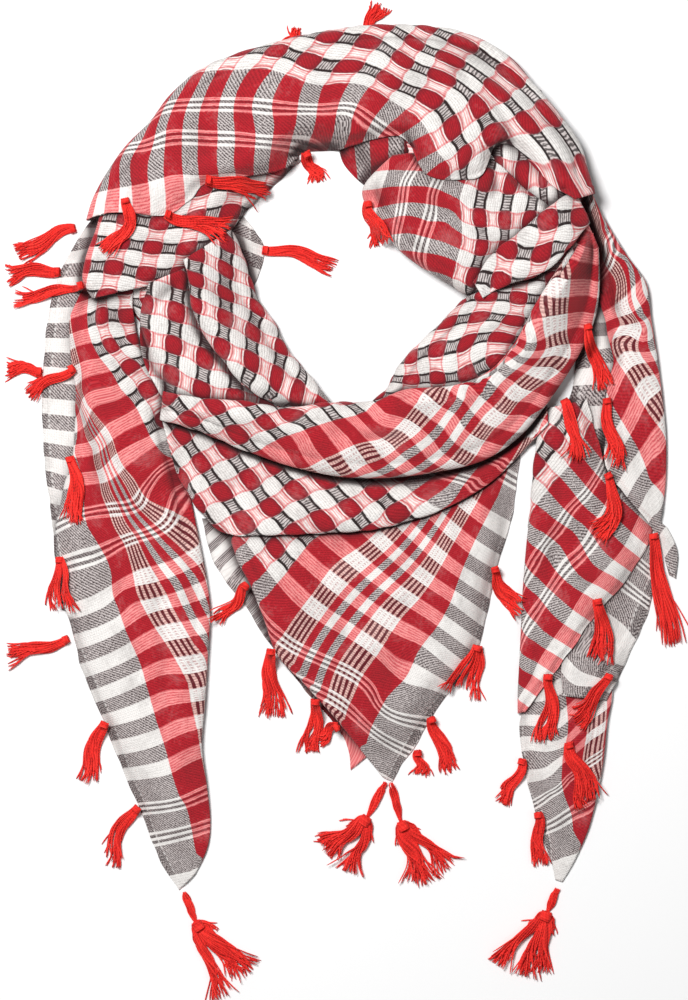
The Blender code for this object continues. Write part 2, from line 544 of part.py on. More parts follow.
def add_fringe(ground, name, tassels):
    """Tassels whose strands are drawn out of the side of one narrow strip."""
    ahead = np.array([tassels[0][3] - tassels[0][1], tassels[0][0] - tassels[0][2]], float)
    if len(tassels) > 1 and np.dot(ahead, np.subtract(tassels[1][:2], tassels[0][:2])) < 0:
        tassels = tassels[::-1]
    places, headings, owners = [], [], {}
    for tassel in tassels:
        root, middle = np.array(tassel[0:2], float), np.array(tassel[2:4], float)
        heading = (middle - root) / np.linalg.norm(middle - root)
        axis = np.array([heading[1], -heading[0]])
        strands = tassel[7]
        pitch = STRAND_PITCH if strands < CORNER_STRANDS else CORNER_PITCH
        for k in range(strands + 1):
            if k:
                owners[len(places) - 1] = (tassel, k - 1, pitch)
            places.append(root + axis * (k - strands / 2) * pitch)
            headings.append(heading)
    places = np.array(places)
    level = ground.at(ground.spread(ground.height, 4), places[:, 0], places[:, 1])
    half = STRIP_WIDTH / 2
    fringe = Fringe(ground)
    for place, heading, z in zip(places, headings, np.maximum(level + GAP, FLOOR_GAP)):
        corners = ((1, 0), (1, 1), (-1, 1), (-1, 0))
        ahead = heading * half
        fringe.add_section([np.r_[place + ahead * out, z + STRIP_HEIGHT * up] for out, up in corners])
    last = 4 * (len(places) - 1)
    fringe.quads += [(3, 2, 1, 0), (last, last + 1, last + 2, last + 3)]
    for section in range(len(places) - 1):
        a, b = 4 * section, 4 * section + 4
        tassel, k, pitch = owners.get(section, (None, 0, 0))
        stem = tassel is not None and len(tassel) > 8 and k == tassel[7] // 2
        for side in range(4):
            beside = (side + 1) % 4
            if not (side == 0 and tassel) and not (side == 2 and stem):
                fringe.quads.append((a + side, a + beside, b + beside, b + side))
        if tassel is None:
            continue
        root, middle, tip = (np.array(tassel[n:n + 2], float) for n in (0, 2, 4))
        from_middle = k + 0.5 - tassel[7] / 2
        offsets = from_middle * pitch, from_middle * max(tassel[6] / tassel[7], pitch * 1.15)
        tip = tip + (middle - tip) * abs(UNEVEN * math.sin(2.6 * k))
        heading = headings[section]
        path = strand_path(root + heading * half, middle, tip, offsets, pitch)
        fringe.draw_out([a, a + 1, b + 1, b], path, ((-1, 0), (-1, 1), (1, 1), (1, 0)))
        if stem:
            start, end = root - heading * half, np.array(tassel[8:10], float)
            bend = (start + end) / 2 - heading * half
            path = strand_path(start, bend, end, (-offsets[0], 0), pitch)
            fringe.draw_out([a + 2, a + 3, b + 3, b + 2], path, ((1, 1), (1, 0), (-1, 0), (-1, 1)))
    faces = triangles(fringe.quads)
    points, groups = np.array(fringe.points), np.array(fringe.groups)
    faces = outward(points, faces)
    points = ground.lift(points, faces, groups)
    ground.lay(points, faces)
    return add_object(name, points, faces, "fringe")


def main():
    for obj in list(bpy.data.objects):
        bpy.data.objects.remove(obj)
    ground = Ground()
    for name, rows in CORES.items():
        add_core(ground, name, rows)
    for name in FRINGE_BELOW:
        add_fringe(ground, name, FRINGE[name])
    for name, (left_edge, right_edge, rows) in SHEETS.items():
        add_sheet(ground, name, left_edge, right_edge, rows)
    for name, tassels in FRINGE.items():
        if name not in FRINGE_BELOW:
            add_fringe(ground, name, tassels)


main()
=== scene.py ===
"""Keffiyeh headscarf, laid flat: woven check cloth, folds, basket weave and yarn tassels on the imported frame.

Tables are in millimetres of the layout, where the frame's origin is at CENTRE. Every stretch of cloth is a thin
shell that takes its height from its CAD solid and rests on the shells below it. Cloth coordinates u and v, in
millimetres from the selvedge and from the tasselled edge, place the woven pattern, so each band of the border
runs on from fold to fold.
"""

import math
from functools import partialmethod

import bpy
import numpy as np
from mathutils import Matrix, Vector


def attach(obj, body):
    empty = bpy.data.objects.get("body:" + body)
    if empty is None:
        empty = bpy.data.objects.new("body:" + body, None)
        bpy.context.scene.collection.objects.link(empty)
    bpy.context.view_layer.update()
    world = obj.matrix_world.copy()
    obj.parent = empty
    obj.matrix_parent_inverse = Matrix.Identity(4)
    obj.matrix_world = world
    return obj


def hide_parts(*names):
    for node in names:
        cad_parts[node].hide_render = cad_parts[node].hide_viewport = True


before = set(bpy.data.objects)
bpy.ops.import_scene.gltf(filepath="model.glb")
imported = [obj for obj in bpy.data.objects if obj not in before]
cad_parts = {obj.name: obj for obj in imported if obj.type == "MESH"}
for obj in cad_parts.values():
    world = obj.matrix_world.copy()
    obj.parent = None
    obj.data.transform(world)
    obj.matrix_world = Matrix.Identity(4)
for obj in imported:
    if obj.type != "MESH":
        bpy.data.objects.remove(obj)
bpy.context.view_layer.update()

MM = 0.001
CENTRE = (-0.1, -1.0)  # the frame's origin in the layout, mm
ORIGIN = np.array([*CENTRE, 0])
THICKNESS = 0.7  # of the cloth, mm
CLEAR = 0.25  # between two shells, mm
FLOOR_GAP = 0.3
STEP = 1.6  # between points of a shell, mm
CELL = 1.0  # of the height map, mm

# How a sheet's long edge ends.
ROLL = "round"  # the cloth folds down and under
FLAT = "eased"  # a free edge that lies down
TUCK = "level"  # runs on under a neighbour
ROLL_RADIUS = 9.0
ROLL_ANGLES = (-50, -30, -10, 8, 24, 38, 50, 60, 69, 77, 84)
EASE = 7.0  # width over which a free edge comes down
RUN_ON = 14  # cells by which a solid's height carries on past its outline
LEAST_AREA = 0.31  # of a sheet, as a part of its length times its width
CREASE_POINTS, CREASE_MARGIN = 40, 30  # points along a crease, and how far it reaches sideways, mm
RIPPLES, RIPPLE_LENGTHS = 14, (14, 55)  # small waves of the cloth, and their shortest and longest, mm
RIPPLE_HEIGHT = 0.35
SWAY, SWAY_FINER, SWAY_REACH = 0.6, 2.2, 4  # a free edge's waves: size, fineness and reach, mm

# Hidden layers: how many show at a folded edge, how far each steps in and bulges, and how many make the height.
LAYERS, LAYER_STEP, LAYER_BULGE, LAYERS_HIGH = 3, 1.4, 1.2, 3.6
FOOT = (1.6, 0.05)  # inset and height of the lowest point, mm
CROWN, PEAK = ((6.0, 0.92), (9.0, 0.97)), 0.99  # insets, mm, with parts of the height, and the middle's part

# The woven pattern: width, mm, colour and number of thin white lines of each band.
PLAIN, COLOURED = "plain", "coloured"
WARP_BORDER = (  # from the selvedge
    (36, PLAIN, 0), (20.4, COLOURED, 0), (15.6, COLOURED, 5), (5.4, COLOURED, 0), (5.4, PLAIN, 0),
    (6.6, COLOURED, 0), (5.4, PLAIN, 0), (5.4, COLOURED, 0), (15.6, COLOURED, 5), (21.6, COLOURED, 0),
)
WEFT_SECOND = (
    (15.9, COLOURED, 0), (8.4, COLOURED, 3), (10.8, COLOURED, 0), (8.4, COLOURED, 3), (15.9, COLOURED, 0),
)
WEFT_BORDER = ((12, PLAIN, 0), (17.1, COLOURED, 0), *WEFT_SECOND[1:])  # from the tasselled edge
WARP_PERIOD, WARP_WHITE = 20.4, 9.3
WEFT_PERIOD, WEFT_WHITE = 18.0, 9.0
SECOND_START = 189.6
WARP_START = sum(band[0] for band in WARP_BORDER)
WEFT_START = sum(band[0] for band in WEFT_BORDER)
SECOND_END = SECOND_START + sum(band[0] for band in WEFT_SECOND)
STRIPE_SOFT = 0.2  # half width of a stripe's soft edge, mm
DOT_SIZE = (0.63, 0.60)  # half width of a dot's colour along the weft and the warp, in half periods
DOT_POWER = 2.8  # 2 makes an ellipse, and more makes it squarer
FLOAT_SIZE = (0.66, 0.62)  # half width of its relief
SWELL = 0.07  # how far floats widen between waists, in half periods
RELIEF, UNDER_RELIEF = 0.8, 0.6  # height of the basket weave's floats, mm, and the part of it underneath
TWILL, WEFT_RIB, WARP_RIB = 2.2, 1.5, 1.4  # pitch of the threads' ribs, mm
TWILL_SLOPE = 1.15
SELVEDGE, STITCH = 4.2, 3.4  # the line of stitches, mm from the edge, and their pitch
HIDDEN_PLACE = (420, 620)  # cloth coordinates that hidden layers start from, mm
PIN_SCALE, PIN_SLACK = 60, 0.002  # unit of the cloth map, mm, and how loosely it keeps to its pins

WHITE = (0.90, 0.87, 0.84)
THREAD_GRAY = (0.48, 0.45, 0.43)
RED = (0.49, 0.016, 0.026)
SHADE_RED = (0.30, 0.008, 0.016)
MAROON = (0.17, 0.012, 0.020)
DARK_MAROON = (0.07, 0.010, 0.014)
PINK = (0.62, 0.085, 0.10)
PALE_PINK = (0.90, 0.30, 0.29)
DOTTED_PINK = (0.46, 0.22, 0.22)
PALE_LINE = (0.84, 0.52, 0.47)
BEAD = (0.25, 0.10, 0.09)
PALE_GRAY = (0.64, 0.575, 0.56)
DARK_GRAY = (0.072, 0.054, 0.055)
INK = (0.022, 0.014, 0.014)
DYE_DARK, DYE_PALE = (0.05, 0.02, 0.02), (1.0, 0.9, 0.88)
# Painted shade: the cloth's colour is darkened towards a near-black red where it lies below the cloth round it,
# in creases and beside taller layers.
PAINTED_SHADE_DEPTH, PAINTED_SHADE_STRENGTH, PAINTED_SHADE_COLOUR = 3.0, 0.88, (0.030, 0.007, 0.009)
TASSEL_RED = (0.93, 0.034, 0.026)
TASSEL_SHADE = (0.46, 0.010, 0.010)
TASSEL_LIGHT = (0.97, 0.085, 0.06)

YARN_RADIUS, YARN_SIDES, YARN_TIP = 0.42, 5, 0.4
YARN_POINTS = 18  # along a lock
YARN_TURN = 2.4  # between neighbouring yarns of a lock, radians
YARN_SHORT = 0.22  # the most by which a yarn ends early, as a part of its lock
PARTS_FROM = 0.55  # where along a lock its yarns part
# Locks of yarn: half width, mm, number of yarns and how far they part at the tip, mm.
SMALL_LOCK, CORNER_LOCK, STEM_LOCK = (1.7, 11, 9.0), (2.8, 34, 17.0), (1.3, 9, 0)
SMALL_KNOT, CORNER_KNOT = (4, 2.1), (7, 3.0)  # turns of a tassel's knot and its half width, mm
KNOT_STEPS, KNOT_HALF = 12, 2.2  # points in a turn, and half width of the locks' roots, mm
SKIRT, SKIRT_LENGTH = (-7, -3, 2, 6), 12.0  # short locks round a corner tassel's knot, mm
FRINGE_BELOW = ["tassels_top_outer"]

CAMERA_HEIGHT = 2.4
VIEW_HEIGHT = 0.600  # height of the picture at the surface, m
FLOOR_HALF = 3.0
KEY_PLACE, KEY_SIZE, KEY_POWER = (-0.5, 0.55, 1.7), 0.6, 38
FILL_PLACE, FILL_SIZE, FILL_POWER = (1.2, -0.5, 2.0), 1.6, 4
WORLD_STRENGTH = 0.17

# What a sheet rests on, where it isn't the ring alone.
# Hidden layers: left x, left y, right x, right y, height.
CORES = {
    "hidden_layers_ring": [
        (1, 271, 1, 217, 20), (-26, 265, -26, 216, 20), (-53, 257, -43, 207, 19), (-77, 250, -58, 195, 18),
        (-98, 234, -71, 183, 17), (-116, 216, -82, 173, 16), (-130, 198, -86, 161, 15),
        (-139, 177, -83, 149, 14), (-144, 156, -77, 135, 13), (-142, 135, -71, 120, 13),
        (-128, 114, -62, 105, 13), (-113, 93, -52, 89, 13), (-103, 72, -38, 73, 14), (-83, 53, -23, 60, 14),
        (-53, 36, -11, 53, 14), (-20, 25, 1, 53, 14), (16, 20, 17, 52, 14), (49, 24, 31, 59, 14),
        (79, 34, 42, 72, 15), (101, 49, 53, 86, 16), (119, 69, 66, 99, 17), (131, 93, 78, 112, 18),
        (138, 120, 82, 118, 18), (140, 143, 67, 130, 19), (140, 165, 48, 142, 20), (136, 186, 40, 156, 20),
        (125, 207, 28, 173, 20), (110, 227, 25, 185, 20), (91, 247, 24, 197, 20), (64, 266, 26, 209, 20),
        (34, 272, 13, 217, 20), (1, 271, 1, 217, 20),
    ],
    "hidden_layers_left_tail": [
        (-157, 99, -136, 99, 4), (-157, 60, -125, 65, 5), (-158, 30, -115, 34, 6), (-161, 0, -104, 7, 6),
        (-163, -33, -97, -24, 6), (-156, -67, -91, -57, 6), (-148, -96, -89, -87, 6),
        (-137, -129, -90, -120, 6), (-125, -161, -90, -151, 5), (-115, -187, -89, -180, 4),
    ],
    "hidden_layers_front": [
        (-77, 0, 88, 0, 6), (-65, -13, 89, -18, 7), (-55, -34, 83, -42, 7), (-46, -60, 76, -67, 7),
        (-32, -84, 64, -93, 6), (-16, -106, 49, -115, 6), (2, -127, 37, -134, 5),
    ],
    "hidden_layers_right": [
        (122, 42, 148, 46, 6), (121, 18, 152, 18, 6), (119, -9, 160, -7, 6), (116, -36, 157, -31, 6),
        (115, -63, 154, -60, 6), (114, -90, 150, -87, 5), (113, -120, 146, -120, 5),
        (116, -150, 144, -151, 4), (121, -180, 140, -180, 3),
    ],
}
# Cloth, from the surface up: how its edges end, then left x, left y, right x, right y of each row.
SHEETS = {
    "back_left_fold": (FLAT, TUCK, [
        (-144, 176, -116, 173), (-156, 162, -128, 156), (-170, 137, -146, 132), (-176, 117, -151, 113),
        (-179, 96, -152, 93), (-181, 75, -152, 72), (-181, 48, -151, 45), (-179, 18, -149, 13),
        (-175, -15, -151, -18), (-172, -45, -155, -48), (-169, -66, -158, -69),
    ]),
    "hole_flap_left": (TUCK, FLAT, [
        (-73, 177, -62, 172), (-77, 163, -53, 161), (-77, 150, -48, 151), (-73, 138, -50, 138),
        (-62, 126, -55, 126),
    ]),
    "hole_flap_top": (TUCK, TUCK, [
        (-4, 216, 41, 216), (-1, 203, 37, 204), (6, 194, 29, 197), (13, 188, 22, 191),
    ]),
    "right_edge_strip": (TUCK, TUCK, [
        (146, 122, 157, 120), (142, 102, 161, 97), (139, 83, 163, 79), (137, 67, 161, 62), (134, 54, 158, 42),
        (142, 36, 157, 27), (149, 20, 158, 16),
    ]),
    "left_tail": (FLAT, ROLL, [
        (-154, 131, -122, 143), (-160, 120, -126, 121), (-164, 107, -125, 105), (-164, 89, -121, 90),
        (-161, 69, -113, 73), (-161, 48, -107, 59), (-162, 27, -101, 36), (-168, 6, -94, 13),
        (-173, -18, -90, -7), (-172, -39, -86, -27), (-168, -63, -82, -48), (-162, -81, -80, -67),
        (-157, -102, -81, -87), (-145, -131, -83, -120), (-133, -161, -85, -147), (-121, -189, -82, -171),
        (-113, -210, -80, -193), (-104, -227, -82, -209), (-99, -234, -89, -224),
    ]),
    "left_shoulder": (ROLL, TUCK, [
        (-136, 186, -26, 204), (-144, 174, -37, 193), (-148, 161, -52, 180), (-154, 145, -65, 165),
        (-156, 131, -73, 150), (-150, 120, -83, 135),
    ]),
    "neck_pleat_right": (TUCK, TUCK, [
        (76, 240, 118, 246), (76, 210, 137, 210), (80, 180, 142, 180), (94, 161, 139, 161),
        (112, 143, 136, 145),
    ]),
    "inner_wrap_right": (ROLL, TUCK, [
        (29, 205, 76, 210), (12, 188, 94, 198), (13, 176, 106, 186), (23, 163, 118, 177), (32, 150, 127, 169),
        (49, 137, 133, 159), (74, 122, 130, 145),
    ]),
    "front_middle": (TUCK, TUCK, [
        (-116, 129, -92, 139), (-121, 114, -89, 120), (-122, 96, -80, 102), (-119, 81, -71, 87),
        (-112, 67, -60, 72), (-106, 57, -47, 60), (-101, 51, -35, 53),
    ]),
    "neck_roll_left": (ROLL, ROLL, [
        (-95, 143, -67, 161), (-92, 129, -59, 143), (-90, 113, -52, 121), (-82, 96, -42, 107),
        (-72, 83, -34, 91), (-61, 70, -23, 77), (-49, 61, -12, 64), (-35, 55, -6, 56),
    ]),
    "neck_roll_right": (ROLL, ROLL, [
        (121, 143, 146, 156), (94, 128, 130, 129), (74, 121, 116, 111), (58, 106, 107, 99), (43, 92, 100, 89),
        (34, 82, 89, 77), (25, 66, 70, 67), (17, 59, 46, 61),
    ]),
    "front_back_layer": (FLAT, TUCK, [
        (-85, -11, -49, -12), (-78, -38, -38, -36), (-61, -61, -26, -54), (-46, -84, -8, -84),
        (-26, -111, 10, -114), (-1, -141, 22, -138), (4, -162, 17, -151),
    ]),
    "front_point": (ROLL, FLAT, [
        (94, 18, 107, 36), (52, -3, 101, -8), (-8, -12, 97, -23), (-62, -19, 91, -43), (-65, -33, 86, -67),
        (-56, -51, 79, -93), (-48, -71, 70, -108), (-40, -93, 60, -119), (-24, -110, 51, -133),
        (-5, -131, 42, -149), (11, -151, 35, -158), (23, -166, 29, -169),
    ]),
    "right_tail_end": (FLAT, ROLL, [
        (127, -90, 161, -96), (115, -114, 161, -117), (106, -129, 158, -133), (106, -147, 156, -153),
        (109, -165, 153, -171), (113, -180, 150, -185), (117, -195, 146, -199), (123, -213, 139, -215),
        (127, -228, 131, -229),
    ]),
    "right_tail_side": (TUCK, FLAT, [
        (152, -33, 187, -27), (149, -51, 185, -51), (143, -66, 182, -69), (136, -81, 172, -90),
        (130, -99, 164, -108), (131, -117, 157, -120),
    ]),
    "right_tail_panel": (ROLL, FLAT, [
        (122, 55, 145, 60), (116, 36, 152, 36), (113, 15, 158, 18), (111, -9, 175, 0), (109, -27, 185, -18),
        (107, -51, 169, -48), (106, -72, 151, -68), (105, -93, 136, -89), (104, -114, 118, -113),
        (104, -128, 108, -127),
    ]),
    "right_side_fold": (FLAT, ROLL, [
        (138, 190, 149, 182), (144, 171, 157, 167), (148, 150, 170, 146), (152, 126, 181, 130),
        (157, 105, 184, 109), (161, 84, 188, 83), (157, 62, 191, 60), (157, 42, 193, 38), (157, 20, 193, 13),
        (168, 4, 191, -5), (181, -12, 190, -13), (187, -21, 194, -17), (192, -34, 200, -31),
        (195, -45, 199, -47),
    ]),
    "front_swag": (TUCK, ROLL, [
        (-109, 48, -101, 18), (-95, 46, -86, -7), (-77, 40, -70, -20), (-53, 29, -46, -21),
        (-32, 22, -23, -20), (-4, 15, 1, -19), (23, 13, 25, -16), (49, 16, 50, -9), (76, 24, 71, 0),
        (94, 32, 91, 13), (106, 41, 108, 30), (121, 57, 122, 45),
    ]),
    "front_upper": (ROLL, ROLL, [
        (-108, 65, -110, 48), (-89, 61, -86, 41), (-62, 59, -55, 28), (-35, 55, -32, 20), (-11, 58, -4, 14),
        (17, 59, 23, 13), (37, 66, 52, 16), (64, 68, 82, 23), (85, 76, 104, 37), (101, 93, 121, 57),
        (112, 114, 139, 84), (125, 135, 150, 108), (136, 153, 153, 129), (142, 171, 152, 150),
    ]),
    "neck_fold_right": (ROLL, ROLL, [
        (77, 129, 82, 120), (89, 147, 96, 127), (103, 158, 118, 135), (119, 172, 133, 149),
        (137, 184, 146, 165),
    ]),
    "top_band": (ROLL, FLAT, [
        (-154, 167, -136, 172), (-150, 180, -107, 169), (-142, 195, -92, 178), (-131, 211, -82, 188),
        (-116, 226, -65, 191), (-103, 243, -49, 194), (-83, 259, -35, 198), (-59, 268, -29, 203),
        (-26, 277, -23, 209), (1, 282, 1, 210), (28, 284, 34, 216), (52, 283, 49, 193), (76, 278, 70, 190),
        (97, 267, 82, 193), (115, 246, 89, 209), (130, 228, 101, 210), (142, 209, 121, 189),
        (149, 182, 137, 178),
    ]),
}
# Tassels: root x, y, middle x, y, tip x, y, spread of the tips, locks, and a corner tassel's stem x, y.
FRINGE = {
    "tassels_top_outer": [(-35, 272, -32, 277, -28, 282, 6, 3), (11, 280, 17, 288, 23, 297, 8, 4)],
    "tassels_band_left": [(-130, 179, -124, 157, -144, 145, 14, 4), (-106, 170, -86, 164, -67, 158, 12, 4)],
    "tassel_band_middle": [(-82, 190, -62, 187, -44, 182, 10, 4)],
    "tassel_band_hole": [(-23, 208, -18, 199, -14, 190, 8, 3)],
    "tassel_hole_right": [(14, 178, 17, 163, 23, 150, 10, 4)],
    "tassel_hole_left": [(-49, 150, -26, 148, -4, 139, 10, 4)],
    "tassel_back_1": [(-161, 163, -179, 157, -197, 147, 12, 4)],
    "tassels_back_2": [(-170, 137, -188, 137, -203, 134, 10, 3), (-155, 128, -176, 122, -199, 120, 10, 3)],
    "tassels_back_3": [(-161, 79, -178, 72, -193, 61, 8, 3), (-181, 77, -192, 78, -204, 79, 10, 4)],
    "tassel_left_1": [(-164, 26, -160, 6, -161, -15, 8, 4)],
    "tassel_left_2": [(-170, -34, -170, -51, -169, -68, 24, 4)],
    "tassel_left_3": [(-165, -83, -184, -90, -203, -93, 9, 4)],
    "tassel_left_4": [(-143, -133, -149, -150, -154, -171, 12, 4)],
    "tassel_left_5": [(-123, -184, -136, -198, -139, -221, 16, 4)],
    "tassel_front_0": [(-58, -50, -65, -62, -80, -74, 8, 3)],
    "tassel_front_1": [(-44, -89, -44, -111, -43, -131, 16, 4)],
    "tassels_front_2": [(-17, -119, -19, -138, -21, -154, 9, 3), (-3, -135, -10, -139, -16, -145, 7, 3)],
    "tassels_front_3": [(52, -130, 58, -147, 64, -164, 10, 4), (44, -150, 45, -160, 46, -167, 6, 3)],
    "tassel_front_4": [(80, -87, 76, -101, 70, -118, 20, 4)],
    "tassel_front_5": [(90, -40, 94, -56, 107, -67, 14, 4)],
    "tassel_right_1": [(145, 105, 151, 85, 156, 65, 8, 4)],
    "tassel_right_2": [(131, 60, 140, 42, 140, 19, 8, 4)],
    "tassels_right_3": [(157, 61, 162, 39, 163, 17, 10, 4), (157, 16, 170, -5, 150, -23, 12, 4)],
    "tassel_right_4": [(151, -59, 155, -79, 154, -100, 12, 4)],
    "tassel_right_5": [(185, -20, 191, -54, 198, -96, 14, 5)],
    "tassel_right_6": [(122, -104, 122, -125, 119, -146, 10, 4)],
    "tassel_right_7": [(159, -104, 152, -122, 137, -134, 10, 4)],
    "tassel_right_8": [(134, -145, 140, -164, 146, -184, 16, 5)],
    "tassel_right_9": [(107, -155, 103, -170, 94, -183, 10, 4)],
    "tassel_right_10": [(116, -187, 118, -204, 118, -222, 12, 4)],
    "corner_tassel_left": [(-89, -253, -77, -270, -61, -293, 42, 3, -96, -235)],
    "corner_tassel_front_1": [(14, -190, 6, -203, -8, -217, 44, 3, 25, -169)],
    "corner_tassel_front_2": [(34, -193, 42, -209, 53, -230, 36, 3, 28, -169)],
    "corner_tassel_right": [(122, -247, 115, -264, 107, -286, 40, 3, 128, -233)],
}
